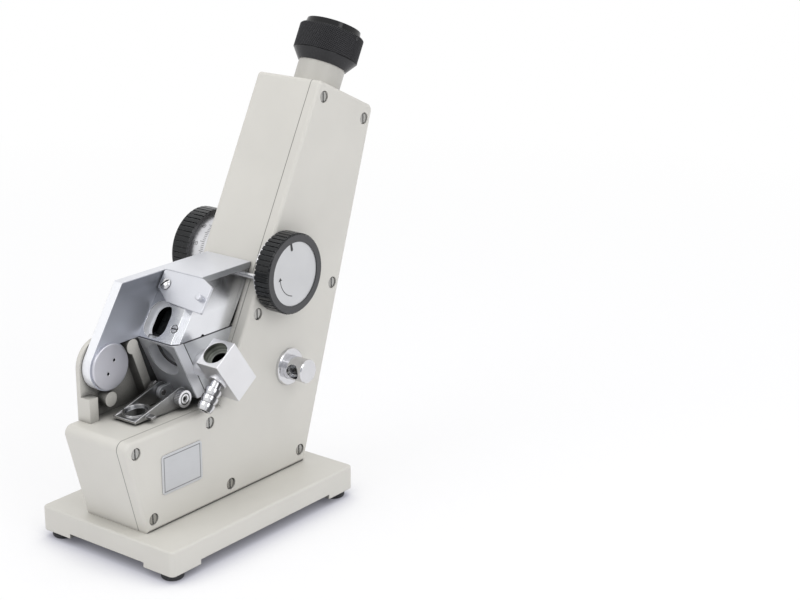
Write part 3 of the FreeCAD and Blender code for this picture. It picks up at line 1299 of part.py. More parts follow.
def make_face_screws():
    """The flush screw in the lid's face, and the round-headed one that the shade turns on."""
    slope = RIGHT_ANGLE - d.face_lean
    up_y, up_z = on_lid_face(d.face_screw_up)
    body = new_body("face_screw")
    sketch = sketch_on(body, "XY_Plane", -d.face_screw_depth)
    add_circle(sketch, ZERO, ZERO, d.face_screw_radius)
    pad(body, sketch, d.face_screw_depth)
    sketch = sketch_on(body, "XY_Plane")
    add_box(sketch, -d.face_screw_radius * 2, d.face_screw_radius * 2, -d.slot_width / 2, d.slot_width / 2)
    pocket(body, sketch, d.slot_depth)
    place(body, (face_screw_x, up_y, up_z), (1, 0, 0), slope)
    up_y, up_z = on_lid_face(d.shade_up)
    body = new_body("shade_screw")
    head = d.shade_gap * 2 + d.shade_thickness
    top = head + d.shade_screw_height
    revolve(body, [
        (ZERO, -d.face_screw_depth), (d.pivot_shaft, -d.face_screw_depth), (d.pivot_shaft, head),
        (d.shade_screw_head, head),
        (d.shade_screw_head, top - d.edge_round), (d.shade_screw_head - d.edge_round, top), (ZERO, top),
    ])
    sketch = sketch_on(body, "XY_Plane", top)
    add_box(sketch, -d.shade_screw_head * 2, d.shade_screw_head * 2, -d.slot_width / 2, d.slot_width / 2)
    pocket(body, sketch, d.slot_depth)
    place(body, (shade_x, up_y, up_z), (1, 0, 0), slope)
    body = new_body("shade_plate")
    sketch = sketch_on(body, "XY_Plane", d.shade_gap)
    add_loop(sketch, [
        (-d.shade_left, d.shade_top), (-d.shade_left, -d.shade_toe), (ZERO, -d.shade_hip),
        (d.shade_heel_x, -d.shade_heel_y), (d.shade_end, -d.shade_low),
        (d.shade_end, d.shade_top - d.shade_bevel), (d.shade_corner, d.shade_top),
    ])
    pad(body, sketch, d.shade_thickness)
    round_edges(body, d.edge_round, lambda edge: runs_along(edge, Z_AXIS))
    sketch = sketch_on(body, "XY_Plane", d.shade_gap)
    add_circle(sketch, ZERO, ZERO, d.pivot_shaft + d.running_gap)
    pocket(body, sketch, d.shade_thickness + d.overrun, along=True)
    place(body, (shade_x, up_y, up_z), (1, 0, 0), slope)
    body = new_body("shade_stud")
    low = d.shade_gap + d.shade_thickness
    sketch = sketch_on(body, "XY_Plane", low)
    add_circle(sketch, d.stud_x, -d.stud_down, d.stud_radius)
    pad(body, sketch, d.stud_height)
    round_edges(body, d.edge_round / 2, lambda edge: lies_at(edge, "z", low + d.stud_height))
    place(body, (shade_x, up_y, up_z), (1, 0, 0), slope)


make_base_plate()
make_feet()
make_base_screws()
make_housing()
make_cover()
make_cover_screws()
make_badge()
make_eyepiece_tube()
make_focus_ring()
make_eye_cap()
make_glasses()
make_optics_bracket()
make_cell("upper_cell", "upper_prism", ZERO)
make_cell("lower_cell", "lower_prism", HALF_TURN)
make_dispersion()
make_bush("dispersion_bush", axis_y, d.axis_z, True)
make_bush("index_bush", index_y, index_z, True)
make_bush("lock_bush", d.lock_y, d.lock_z, False)
make_lock()
make_condenser()
make_index()
make_sector()
make_scale_bearing()
make_lower_box()
make_window_plate()
make_mirror()
make_thermometer_block()
make_bracket()
make_lid()
make_arm_screws()
make_face_screws()

doc.recompute()
broken = [item.Label for item in doc.Objects if "Invalid" in item.State or "Error" in item.State]
broken += [node.Label for node in NODES if node.Shape.isNull() or not node.Shape.isValid()]
if broken:
    raise RuntimeError("these did not build: " + ", ".join(broken))
os.makedirs("parts", exist_ok=True)
for node in NODES:
    node.Shape.exportStep(f"parts/{node.Label}.step")
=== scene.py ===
import json
import math

import bmesh
import bpy
from mathutils import Euler, Matrix, Vector


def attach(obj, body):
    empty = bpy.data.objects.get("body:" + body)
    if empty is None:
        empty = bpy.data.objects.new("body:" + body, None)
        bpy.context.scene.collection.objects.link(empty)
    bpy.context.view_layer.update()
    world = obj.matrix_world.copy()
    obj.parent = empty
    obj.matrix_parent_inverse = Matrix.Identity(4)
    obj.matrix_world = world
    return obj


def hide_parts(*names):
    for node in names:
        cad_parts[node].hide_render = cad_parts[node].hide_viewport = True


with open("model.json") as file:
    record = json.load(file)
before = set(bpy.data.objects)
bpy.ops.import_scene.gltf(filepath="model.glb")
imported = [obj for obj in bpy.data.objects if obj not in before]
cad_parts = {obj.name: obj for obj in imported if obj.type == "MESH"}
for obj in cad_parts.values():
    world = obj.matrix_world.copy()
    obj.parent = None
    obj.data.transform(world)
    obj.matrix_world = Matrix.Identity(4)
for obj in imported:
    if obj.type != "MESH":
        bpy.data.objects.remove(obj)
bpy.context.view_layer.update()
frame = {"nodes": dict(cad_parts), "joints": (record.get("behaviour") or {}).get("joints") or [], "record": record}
MM = 0.001

# Places in millimetres, and directions, from the frame's joints

JOINTS = {joint["name"]: joint for joint in frame["joints"]}


def pivot(joint):
    return Vector(JOINTS[joint]["pos_m"]) / MM


def axis_of(joint):
    return Vector(JOINTS[joint]["axis"])


def lean(out):
    """How far a direction of the side view leans towards the front, in degrees."""
    return math.degrees(math.atan2(-out.y, out.z))


OPTICAL_PLACE, OPTICAL_OUT = pivot("focus_turn"), axis_of("focus_turn")
SHADE_PLACE, LID_OUT = pivot("shade_turn"), axis_of("shade_turn")
HINGE_PLACE = pivot("lid_swing")
MIRROR_PLACE = pivot("mirror_tilt")
LOCK_PLACE = pivot("lock_turn")

# Faces, edges and holes that the finishes follow: a face is a (Y, Z) point and its normal

JOINT_Z = 99.5
CASTING_SEAM_X = 14.5
ARM_INNER_X = -12.2
ARM_TOP_Z = 128.5
TOP_PLATE_END_X = 11.8
LID_FACE = ((-27.6, JOINT_Z), (-LID_OUT.y, -LID_OUT.z))
LID_BACK = ((12.66, JOINT_Z), (-OPTICAL_OUT.z, OPTICAL_OUT.y))
PORT_X, PORT_HALF, PORT_DEPTH = -4.5, 6.3, 4.725
RECESS_END_X, RECESS_TOP_Z = 3.1, 118.25
FACE_SCREW_PLACE, FACE_SCREW_RADIUS = (7.5, -22.73, 106.35), 1.825
PLATE_SEAM = ((-21.25, JOINT_Z), (0.902, 0.432))
PLATE_THICK = 6.0
CAP_FACE_X, CAP_HOLES_REACH = -10.3, 6.1
WELL_PLACE, WELL_LEAN, WELL_RADIUS, WELL_DEPTH = (27.65, -16.3, 96.97), 35, 6.35, 8.0
NOZZLE_PLACE, NOZZLE_LEAN = (27.65, -15.33, 81.9), 140
BADGE_MIDDLE, BADGE_HALF, BADGE_INSET = (-34.0, 42.5), (13.5, 10.0), 1.4
PIVOT_HEAD_RING, PIVOT_HEAD_RADIUS, PIVOT_RIBS = 2.75, 4.25, 36.0
WEB_OUTER_X, WEB_INNER_X = -20.4, -18.4
KNURL_RADIUS, KNURL_LOW, KNURL_HIGH = 16.8, 109.65, 121.85

# View and light

CAMERA_PLACE = Vector((580.48, -594.64, 379.17)) * MM
CAMERA_AZIMUTH = 37.46
CAMERA_ELEVATION = 17.82
CAMERA_ROLL = 0.23
CAMERA_LENS = 80.47
SENSOR = 36.0
LAMP_AIM = Vector((0, 0.01, 0.11))
CONTACT_REACH = 0.035
OWN_WHITE_NEAR, OWN_WHITE_FAR = (0.3, 0.66), (0.9, 1.0)
ROOM_LIGHT = 0.83
DIM_SIDE = Vector((0.93, -0.33, 0.05)).normalized()
WHITE = (1, 1, 1)


def add_camera():
    azimuth, elevation, roll = map(math.radians, (CAMERA_AZIMUTH, CAMERA_ELEVATION, CAMERA_ROLL))
    back = Vector((math.sin(azimuth) * math.cos(elevation), -math.cos(azimuth) * math.cos(elevation),
                   math.sin(elevation)))
    level = Vector((math.cos(azimuth), math.sin(azimuth), 0))
    upright = back.cross(level)
    right = level * math.cos(roll) + upright * math.sin(roll)
    up = back.cross(right)
    data = bpy.data.cameras.new("view")
    data.lens = CAMERA_LENS
    data.sensor_width = SENSOR
    data.clip_start = 0.01
    data.clip_end = 20
    camera = bpy.data.objects.new("view", data)
    turned = Matrix((right, up, back)).transposed().to_4x4()
    camera.matrix_world = Matrix.Translation(CAMERA_PLACE) @ turned
    bpy.context.collection.objects.link(camera)
    bpy.context.scene.camera = camera


def add_area(name, place, size, power):
    """A soft lamp that looks at the middle of the object."""
    data = bpy.data.lights.new(name, "AREA")
    data.shape = "RECTANGLE"
    data.size, data.size_y = size
    data.energy = power
    lamp = bpy.data.objects.new(name, data)
    turned = (LAMP_AIM - Vector(place)).to_track_quat("-Z", "Y").to_matrix().to_4x4()
    lamp.matrix_world = Matrix.Translation(Vector(place)) @ turned
    bpy.context.collection.objects.link(lamp)


def add_lights():
    add_area("key_softbox", (-0.35, -1.15, 1.05), (0.9, 0.7), 3.8)
    add_area("right_softbox", (1.25, -0.25, 0.75), (0.7, 0.9), 5)
    add_area("top_softbox", (0.1, 0.35, 1.5), (1.1, 1.1), 4.4)


class Tree:
    """A node tree with short ways to add and link its nodes."""

    def __init__(self, tree):
        self.tree = tree

    def new(self, kind, **settings):
        node = self.tree.nodes.new("ShaderNode" + kind)
        for name, value in settings.items():
            setattr(node, name, value)
        return node

    def feed(self, socket, value):
        if isinstance(value, bpy.types.NodeSocket):
            self.tree.links.new(value, socket)
        else:
            socket.default_value = value

    def math(self, operation, *values):
        node = self.new("Math", operation=operation)
        for socket, value in zip(node.inputs, values):
            self.feed(socket, value)
        return node.outputs[0]

    def times(self, first, *others):
        """The product of masks and numbers."""
        for other in others:
            first = self.math("MULTIPLY", first, other)
        return first

    def spread(self, value, low, high, from_low=0.3, from_high=0.7):
        """Runs from low to high while the value runs between two others."""
        node = self.new("MapRange")
        for name, part in (("Value", value), ("From Min", from_low), ("From Max", from_high),
                           ("To Min", low), ("To Max", high)):
            self.feed(node.inputs[name], part)
        return node.outputs["Result"]

    def past(self, value, place, soft=0.1):
        """A mask: 0 short of a place and 1 past it."""
        return self.spread(value, 0.0, 1.0, place - soft, place + soft)

    def before(self, value, place, soft=0.1):
        """A mask: 1 short of a place and 0 past it."""
        return self.spread(value, 1.0, 0.0, place - soft, place + soft)

    def ramp(self, factor, *stops):
        """A colour that runs through (position, colour) stops."""
        node = self.new("ValToRGB")
        elements = node.color_ramp.elements
        while len(elements) < len(stops):
            elements.new(0.5)
        for element, (position, color) in zip(elements, stops):
            element.position = position
            element.color = (*color, 1)
        self.feed(node.inputs["Fac"], factor)
        return node.outputs["Color"]

    def mix(self, factor, first, second, blend="MIX"):
        node = self.new("Mix", data_type="RGBA", blend_type=blend)
        self.feed(node.inputs["Factor"], factor)
        for name, color in (("A", first), ("B", second)):
            self.feed(node.inputs[name], (*color, 1) if isinstance(color, tuple) else color)
        return node.outputs["Result"]

    def clear_rays(self):
        """Two masks: for all rays that show the plain background, and for the camera's own."""
        rays = self.new("LightPath").outputs
        mirrored = self.math("MAXIMUM", rays["Is Glossy Ray"], rays["Is Transmission Ray"])
        return self.math("MAXIMUM", rays["Is Camera Ray"], mirrored), rays["Is Camera Ray"]


def add_world():
    """White to the camera. Metal sees it dimmer on one side, and matt things dimmer from below as well."""
    world = bpy.data.worlds.new("studio")
    bpy.context.scene.world = world
    world.use_nodes = True
    world.node_tree.nodes.clear()
    tree = Tree(world.node_tree)
    where = tree.new("TexCoord").outputs["Generated"]
    height = tree.new("SeparateXYZ")
    tree.feed(height.inputs[0], where)
    rise = tree.ramp(height.outputs["Z"], (0.0, (0.62, 0.62, 0.64)), (0.75, WHITE))
    toward = tree.new("VectorMath", operation="DOT_PRODUCT")
    toward.inputs[1].default_value = DIM_SIDE
    tree.feed(toward.inputs[0], where)
    dim = tree.ramp(toward.outputs["Value"], (0.72, WHITE), (0.95, (0.32, 0.34, 0.38)))
    clear, camera = tree.clear_rays()
    room = tree.mix(clear, tree.mix(1.0, rise, dim, "MULTIPLY"), dim)
    light = tree.new("Background")
    tree.feed(light.inputs["Color"], tree.mix(camera, room, WHITE))
    tree.feed(light.inputs["Strength"], tree.spread(clear, ROOM_LIGHT, 1.0, 0.0, 1.0))
    tree.feed(tree.new("OutputWorld").inputs["Surface"], light.outputs[0])


def add_floor():
    """A white sweep. Part of its white is its own glow, more of it further out, so that shadows stay close; near
    the object that glow is darkened by ambient occlusion as a painted contact shadow.
    """
    mesh = bpy.data.meshes.new("floor")
    shape = bmesh.new()
    bmesh.ops.create_grid(shape, x_segments=1, y_segments=1, size=6)
    shape.to_mesh(mesh)
    shape.free()
    floor = bpy.data.objects.new("floor", mesh)
    bpy.context.collection.objects.link(floor)
    material = bpy.data.materials.new("floor_white")
    material.use_nodes = True
    material.node_tree.nodes.clear()
    tree = Tree(material.node_tree)
    matt = tree.new("BsdfDiffuse")
    matt.inputs["Color"].default_value = (0.93, 0.93, 0.95, 1)
    glow = tree.new("Emission")
    # painted contact shadow: the floor's own glow darkens where ambient occlusion finds the object close
    shade = tree.new("AmbientOcclusion", samples=12)
    shade.inputs["Distance"].default_value = CONTACT_REACH
    tree.feed(glow.inputs["Color"], tree.ramp(shade.outputs["AO"], (0.1, (0.12, 0.12, 0.14)),
                                              (0.5, (0.52, 0.52, 0.6)), (0.86, WHITE)))
    share = tree.new("MixShader")
    away = tree.new("VectorMath", operation="LENGTH")
    tree.feed(away.inputs[0], tree.new("TexCoord").outputs["Object"])
    (near, least), (far, most) = OWN_WHITE_NEAR, OWN_WHITE_FAR
    own = tree.spread(away.outputs["Value"], least, most, near, far)
    tree.feed(share.inputs["Fac"], tree.times(tree.clear_rays()[0], own))
    tree.feed(share.inputs[1], matt.outputs[0])
    tree.feed(share.inputs[2], glow.outputs[0])
    tree.feed(tree.new("OutputMaterial").inputs["Surface"], share.outputs[0])
    mesh.materials.append(material)


# Materials


class Finish(Tree):
    """One material: its colour is built up in steps, and each step is linked to the shader."""

    def __init__(self, name, edge=0.3, **sockets):
        self.material = bpy.data.materials.new(name)
        self.material.use_nodes = True
        super().__init__(self.material.node_tree)
        self.shader = self.tree.nodes["Principled BSDF"]
        for socket, value in sockets.items():
            self.shader.inputs[socket.replace("_", " ")].default_value = value
        self.place = self.new("TexCoord").outputs["Object"]
        bevel = self.new("Bevel", samples=6)
        bevel.inputs["Radius"].default_value = edge * MM
        self.round = bevel.outputs["Normal"]
        self.feed(self.shader.inputs["Normal"], self.round)
        self.color = None

    def paint_with(self, color):
        self.color = color
        self.feed(self.shader.inputs["Base Color"], color)

    def noise(self, scale, detail=3, stretch=None):
        place = self.place
        if stretch:
            mapping = self.new("Mapping")
            mapping.inputs["Scale"].default_value = stretch
            self.feed(mapping.inputs["Vector"], place)
            place = mapping.outputs["Vector"]
        node = self.new("TexNoise")
        node.inputs["Scale"].default_value = scale
        node.inputs["Detail"].default_value = detail
        self.feed(node.inputs["Vector"], place)
        return node.outputs["Fac"]

    def vary(self, factor, color, darker, brighter):
        """Starts the colour off, a little uneven."""
        self.paint_with(self.ramp(factor, (0.3, lighter(color, darker)), (0.7, lighter(color, brighter))))

    def tint(self, mask, color):
        self.paint_with(self.mix(mask, self.color, color))

    def darken(self, factor):
        self.paint_with(self.mix(1.0, self.color, factor, "MULTIPLY"))

    def along(self, axis):
        """Millimetres along one of the frame's axes."""
        split = self.new("SeparateXYZ")
        self.feed(split.inputs[0], self.place)
        return self.math("DIVIDE", split.outputs[axis], MM)

    def away(self, axis, middle):
        """Millimetres from a plane, on either side of it."""
        return self.math("ABSOLUTE", self.math("SUBTRACT", self.along(axis), middle))

    def band(self, axis, middle, half):
        """A mask: 1 within half a width of a plane."""
        return self.line(self.away(axis, middle), half)

    def beyond(self, point, normal):
        """Millimetres along a normal from a point of the side view."""
        across = self.times(self.math("SUBTRACT", self.along("Y"), point[0]), normal[0])
        up = self.times(self.math("SUBTRACT", self.along("Z"), point[1]), normal[1])
        return self.math("ADD", across, up)

    def line(self, distance, half):
        """A mask: 1 close to where a distance is nought."""
        return self.spread(self.math("ABSOLUTE", distance), 1.0, 0.0, half * 0.6, half)

    def edges(self, low=0.02, high=0.14):
        """A mask: 1 where an outside or inside edge runs."""
        same = self.new("VectorMath", operation="DOT_PRODUCT")
        self.feed(same.inputs[0], self.round)
        self.feed(same.inputs[1], self.new("NewGeometry").outputs["Normal"])
        return self.spread(same.outputs["Value"], 1.0, 0.0, 1 - high, 1 - low)

    def painted_hollow_shade(self, reach, darkest, low, high):
        """Painted shade in recesses: darkens the colour fully where ambient occlusion finds a spot less open than
        low, and not at all past high.
        """
        node = self.new("AmbientOcclusion", samples=8)
        node.inputs["Distance"].default_value = reach * MM
        self.darken(self.spread(node.outputs["AO"], darkest, 1.0, low, high))

    def rough(self, factor, low, high):
        self.feed(self.shader.inputs["Roughness"], self.spread(factor, low, high))

    def bump(self, factor, distance, strength=1.0):
        node = self.new("Bump")
        node.inputs["Distance"].default_value = distance
        node.inputs["Strength"].default_value = strength
        self.feed(node.inputs["Normal"], self.round)
        self.feed(node.inputs["Height"], factor)
        self.feed(self.shader.inputs["Normal"], node.outputs["Normal"])

    def duller(self, mask, metallic):
        """Where the mask is 1, the metal mirrors less of what stands round it."""
        self.feed(self.shader.inputs["Metallic"], self.spread(mask, 1.0, metallic, 0.0, 1.0))

    def around(self, origin, tip, turn=0):
        """The angle round an axis, then the distance from it and the place along it in millimetres.

        The axis is the frame's Z, turned about Y and tipped about X, in degrees.
        """
        mapping = self.new("Mapping", vector_type="TEXTURE")
        mapping.inputs["Location"].default_value = Vector(origin) * MM
        mapping.inputs["Rotation"].default_value = Euler((math.radians(tip), math.radians(turn), 0))
        self.feed(mapping.inputs["Vector"], self.place)
        split = self.new("SeparateXYZ")
        self.feed(split.inputs[0], mapping.outputs["Vector"])
        angle = self.math("ARCTAN2", split.outputs["Y"], split.outputs["X"])
        squares = [self.math("POWER", split.outputs[name], 2.0) for name in "XY"]
        outward = self.math("SQRT", self.math("ADD", *squares))
        return angle, self.math("DIVIDE", outward, MM), self.math("DIVIDE", split.outputs["Z"], MM)


def lighter(color, by):
    return tuple(min(1, part * by) for part in color)


PAINT = (0.645, 0.63, 0.585)
# colour of the painted shadow in the gap behind the lid's box
GAP_SHADOW = (0.01, 0.01, 0.01)
SEAM_BLACK = (0.03, 0.03, 0.03)
JOINT_GREY = (0.08, 0.08, 0.09)
# colour of the painted highlight on metal edges
EDGE_HIGHLIGHT = (0.93, 0.93, 0.95)
# painted shade in hollows: reach, darkest tone and the two ends of openness
OPEN_HOLLOW_SHADE = (60, 0.1, 0.1, 0.42)
CLOSE_HOLLOW_SHADE = (30, 0.08, 0.2, 0.72)
PLAIN_GRAIN = {"grain": 500, "depth": 0, "variation": 0.01}


def paint(name, color, seam_x=None, painted_hollow_shade=OPEN_HOLLOW_SHADE):
    """Baked enamel with a fine orange peel and a slightly uneven tone; its edges are painted lighter as slight
    wear and as a painted highlight, and its hollows get painted shade.
    """
    finish = Finish(name, 0.6, Specular_IOR_Level=0.45, Coat_Weight=0.12, Coat_Roughness=0.25)
    finish.vary(finish.noise(22, 4), color, 0.97, 1.03)
    # edges painted lighter: slight wear and a painted highlight
    finish.tint(finish.times(finish.edges(), 0.35), lighter(color, 1.18))
    # painted shade in the hollows
    finish.painted_hollow_shade(*painted_hollow_shade)
    if seam_x is not None:
        finish.tint(finish.times(finish.band("X", seam_x, 0.26), 0.9), (0.15, 0.145, 0.13))
    finish.rough(finish.noise(140, 2), 0.42, 0.52)
    finish.bump(finish.noise(1500, 2), 0.00003, 0.35)
    return finish


def web_paint():
    """Painted outside; the side towards the tower is coloured black as the painted shadow of the bracket."""
    finish = paint("web_paint", PAINT)
    # painted shadow: black on the inner side
    finish.tint(finish.past(finish.along("X"), WEB_OUTER_X + 0.2), (0.012, 0.012, 0.012))
    return finish


def metal(name, color, low, high, stretch=(1, 1, 1), grain=3200, depth=0.0000015, variation=0.03,
          edge=0.3, glint=0.8):
    """Bare metal: low and high are its roughness. Its grain runs along the axis that is stretched least. Its edges
    get a painted highlight, as strong as glint.
    """
    finish = Finish(name, edge, Metallic=1.0)
    lines = finish.noise(grain, 4, stretch)
    finish.vary(lines, color, 1 - variation, 1 + variation)
    finish.darken(finish.spread(finish.noise(70, 2), 0.95, 1.0))
    # painted highlight along the edges
    finish.tint(finish.times(finish.edges(), glint), EDGE_HIGHLIGHT)
    finish.rough(lines, low, high)
    if depth:
        finish.bump(lines, depth, 0.3)
    return finish


def plastic(name, color, low, high, grain=900, depth=0.00002, shine=0.5, edge=0.3):
    """Plastic, rubber or a black coat: low and high are its roughness."""
    finish = Finish(name, edge, Specular_IOR_Level=shine)
    finish.vary(finish.noise(60, 3), color, 0.8, 1.25)
    finish.rough(finish.noise(grain, 3), low, high)
    finish.bump(finish.noise(grain, 3), depth, 0.5)
    return finish


def knob_plastic():
    """Black and glossy, with painted highlights on the edges of its ribs and a flat rim painted greyer as a
    painted reflection.
    """
    finish = plastic("black_knob_plastic", (0.011, 0.012, 0.013), 0.16, 0.24, shine=0.3)
    side = finish.new("SeparateXYZ")
    finish.feed(side.inputs[0], finish.new("NewGeometry").outputs["Normal"])
    flat = finish.spread(side.outputs["X"], 0.0, 1.0, 0.9, 0.97)
    # painted highlight on the rib edges
    finish.tint(finish.times(finish.edges(0.05, 0.3), 0.75), (0.2, 0.2, 0.21))
    # painted reflection: the flat rim, facing along X, greyer
    finish.tint(finish.times(flat, 0.85), (0.075, 0.075, 0.078))
    return finish


def glass(name, color):
    finish = Finish(name, 0.1, Transmission_Weight=1.0, IOR=1.6)
    finish.vary(finish.noise(40, 2), color, 0.98, 1.0)
    finish.rough(finish.noise(300, 2), 0.02, 0.05)
    return finish


def arm_metal():
    """The lid's angled plate in painted light and shade: its inner face is painted a dull blue-grey shade that
    darkens upwards, its edges are painted bright, its top keeps the bright metal, and its end past the top plate
    is painted dark.
    """
    finish = metal("lid_arm_aluminium", (0.73, 0.74, 0.78), 0.3, 0.34, (1, 0.3, 1), 900, 0, 0.01, glint=0.4)
    below = finish.before(finish.along("Z"), ARM_TOP_Z, 0.3)
    height = finish.math("DIVIDE", finish.along("Z"), 130.0)
    # painted shade on the inner face, darker upwards
    dull = finish.ramp(height, (0.74, (0.5, 0.52, 0.58)), (0.96, (0.17, 0.18, 0.205)))
    finish.duller(1.0, 0.45)
    finish.tint(finish.times(finish.past(finish.along("X"), ARM_INNER_X), below), dull)
    # painted highlight on the edges
    finish.tint(finish.times(finish.before(finish.along("X"), ARM_INNER_X), below), (0.86, 0.87, 0.9))
    # painted shade on the end past the top plate
    finish.tint(finish.past(finish.along("X"), TOP_PLATE_END_X), (0.3, 0.31, 0.32))
    return finish


def upper_box_metal():
    """The lid's box: polished, with painted shade darker under the top plate, painted shade black deep inside the
    light port, and a painted shadow in the gap at its back.
    """
    finish = metal("upper_box_aluminium", (0.81, 0.82, 0.85), 0.24, 0.27, **PLAIN_GRAIN)
    # painted shade under the top plate
    finish.darken(finish.spread(finish.along("Z"), 1.0, 0.4, 111.0, 123.0))
    # painted shade deep inside the light port
    inside = finish.past(finish.beyond(*LID_FACE), PORT_DEPTH, 0.075)
    within = finish.before(finish.away("X", PORT_X), PORT_HALF)
    above = finish.past(finish.along("Z"), JOINT_Z + 0.3)
    finish.tint(finish.times(inside, within, above), (0.004, 0.004, 0.004))
    sunk = finish.past(finish.beyond(*LID_FACE), 0.35, 0.15)
    below = finish.before(finish.along("Z"), RECESS_TOP_Z, 0.25)
    finish.duller(finish.times(sunk, below, finish.before(finish.along("X"), RECESS_END_X)), 0.25)
    # painted shadow in the gap behind the box, widest low down
    gap = finish.spread(finish.along("Z"), 2.2, 0.15, 101.0, 119.0)
    past_gap = finish.math("SUBTRACT", finish.beyond(*LID_BACK), gap)
    finish.tint(finish.before(past_gap, -0.05, 0.15), GAP_SHADOW)
    finish.tint(finish.band("Z", JOINT_Z + 0.15, 0.4), JOINT_GREY)
    return finish


def lower_box_metal():
    """The lower box, with painted shade darker towards its top, and dark lines at its seams."""
    finish = metal("lower_box_aluminium", (0.78, 0.8, 0.83), 0.28, 0.31, **PLAIN_GRAIN)
    # painted shade, darker upwards
    finish.darken(finish.spread(finish.along("Z"), 0.95, 0.75, 76.0, 93.0))
    finish.duller(1.0, 0.55)
    finish.tint(finish.band("Z", JOINT_Z, 0.3), JOINT_GREY)
    finish.tint(finish.line(finish.beyond(*PLATE_SEAM), 0.3), SEAM_BLACK)
    return finish


def window_metal():
    """The window plate in painted light and shade: dark and dull in front, painted brighter behind its face, with
    a dark line at its seam.
    """
    finish = metal("window_plate_aluminium", (0.4, 0.41, 0.43), 0.28, 0.32, edge=0.4, **PLAIN_GRAIN)
    # painted light: the sides behind the front face brighter
    behind = finish.past(finish.beyond(*PLATE_SEAM), 0.375 - PLATE_THICK, 0.075)
    finish.tint(behind, (0.72, 0.73, 0.76))
    finish.duller(1.0, 0.45)
    finish.tint(finish.line(finish.beyond(*PLATE_SEAM), 0.3), SEAM_BLACK)
    return finish


def screw_metal(name, color):
    """A screw, with painted shade down in its slot."""
    finish = metal(name, color, 0.16, 0.26, variation=0.08)
    finish.painted_hollow_shade(1.6, 0.12, 0.35, 0.8)
    return finish


def face_screw_metal():
    """The flush screw in the lid's face, with a dark line round its head."""
    finish = screw_metal("face_screw_steel", (0.8, 0.8, 0.82))
    _, outward, _ = finish.around(FACE_SCREW_PLACE, lean(LID_OUT))
    rim = finish.past(outward, FACE_SCREW_RADIUS, 0.075)
    finish.tint(finish.times(rim, 0.9), (0.06, 0.06, 0.06))
    return finish


def cap_metal():
    """The hinge's cap, with painted shade in its two spanner holes."""
    finish = metal("hinge_cap_aluminium", (0.66, 0.66, 0.71), 0.34, 0.44, edge=0.45)
    _, outward, _ = finish.around(HINGE_PLACE, 0, 90)
    # painted shade in the spanner holes
    sunk = finish.before(finish.along("X"), CAP_FACE_X - 0.2)
    finish.tint(finish.times(sunk, finish.before(outward, CAP_HOLES_REACH)), (0.01, 0.01, 0.02))
    return finish


def knurled_black():
    """Black, with a painted highlight on the crests of the knurl, and greyer on the cone."""
    finish = plastic("knurled_black", (0.009, 0.009, 0.01), 0.22, 0.3, 1400, shine=0.16, edge=0.04)
    _, outward, height = finish.around(OPTICAL_PLACE, lean(OPTICAL_OUT))
    # painted highlight on the crests of the knurl
    crests = finish.past(outward, KNURL_RADIUS - 0.11, 0.09)
    finish.tint(finish.times(crests, 0.7), (0.07, 0.07, 0.075))
    cone = finish.before(height, KNURL_LOW - 0.5, 0.15)
    finish.tint(finish.times(cone, 0.85), (0.045, 0.045, 0.048))
    return finish


def pivot_chrome():
    """The mirror's pivot screws: fine straight ribs round the head with painted shade between them, and a ring
    turned in it, painted dark as its shade.
    """
    finish = metal("pivot_chrome", (0.8, 0.8, 0.82), 0.1, 0.18, edge=0.35)
    angle, outward, _ = finish.around(MIRROR_PLACE, 0, 90)
    wave = finish.math("SINE", finish.times(angle, PIVOT_RIBS))
    ribs = finish.times(wave, finish.past(outward, PIVOT_HEAD_RADIUS, 0.05))
    finish.bump(ribs, 0.0001, 0.9)
    # painted shade between the ribs
    finish.tint(finish.spread(ribs, 0.0, 0.75, 0.1, 0.8), (0.05, 0.05, 0.05))
    # painted shade of the turned ring
    ring = finish.line(finish.math("SUBTRACT", outward, PIVOT_HEAD_RING), 0.4)
    finish.tint(ring, (0.07, 0.07, 0.07))
    return finish


def block_metal():
    """The thermometer block, with painted shade darker step by step down its bore."""
    finish = metal("block_aluminium", (0.8, 0.8, 0.82), 0.34, 0.44, edge=0.45)
    _, outward, height = finish.around(WELL_PLACE, WELL_LEAN)
    inside = finish.times(finish.before(outward, WELL_RADIUS, 0.05), finish.before(height, -0.35, 0.15))
    down = finish.math("DIVIDE", height, -WELL_DEPTH)
    shadow = finish.ramp(down, (0.0, (0.7, 0.71, 0.69)), (0.2, (0.28, 0.29, 0.26)),
                         (0.36, (0.5, 0.51, 0.48)), (0.5, (0.2, 0.21, 0.19)),
                         (0.64, (0.34, 0.35, 0.33)), (0.8, (0.02, 0.02, 0.02)))
    # painted shade down the bore
    finish.tint(inside, shadow)
    return finish


def nozzle_metal():
    """The hose nozzle: chrome with painted reflections, dark streaks along it as a bright room gives, and painted
    shade in its hollows.
    """
    finish = metal("nozzle_chrome", (0.7, 0.7, 0.72), 0.1, 0.16, grain=900, variation=0.02, edge=0.2)
    angle, _, _ = finish.around(NOZZLE_PLACE, NOZZLE_LEAN)
    # painted reflection: dark streaks round the nozzle's axis
    streak = finish.math("SINE", finish.math("ADD", finish.times(angle, 3.0), 0.6))
    finish.darken(finish.spread(streak, 1.0, 0.16, 0.35, 0.85))
    finish.painted_hollow_shade(3, 0.06, 0.3, 0.8)
    return finish


def badge_metal():
    """The bare plate on the foot, with one fine line inside its edge."""
    finish = metal("badge_aluminium", (0.62, 0.63, 0.65), 0.36, 0.46, (1, 0.06, 1))
    across, up = (finish.math("SUBTRACT", finish.away(axis, middle), half)
                  for axis, middle, half in zip("YZ", BADGE_MIDDLE, BADGE_HALF))
    inset = finish.math("ADD", finish.math("MAXIMUM", across, up), BADGE_INSET)
    finish.tint(finish.times(finish.line(inset, 0.3), 0.75), (0.12, 0.12, 0.13))
    return finish


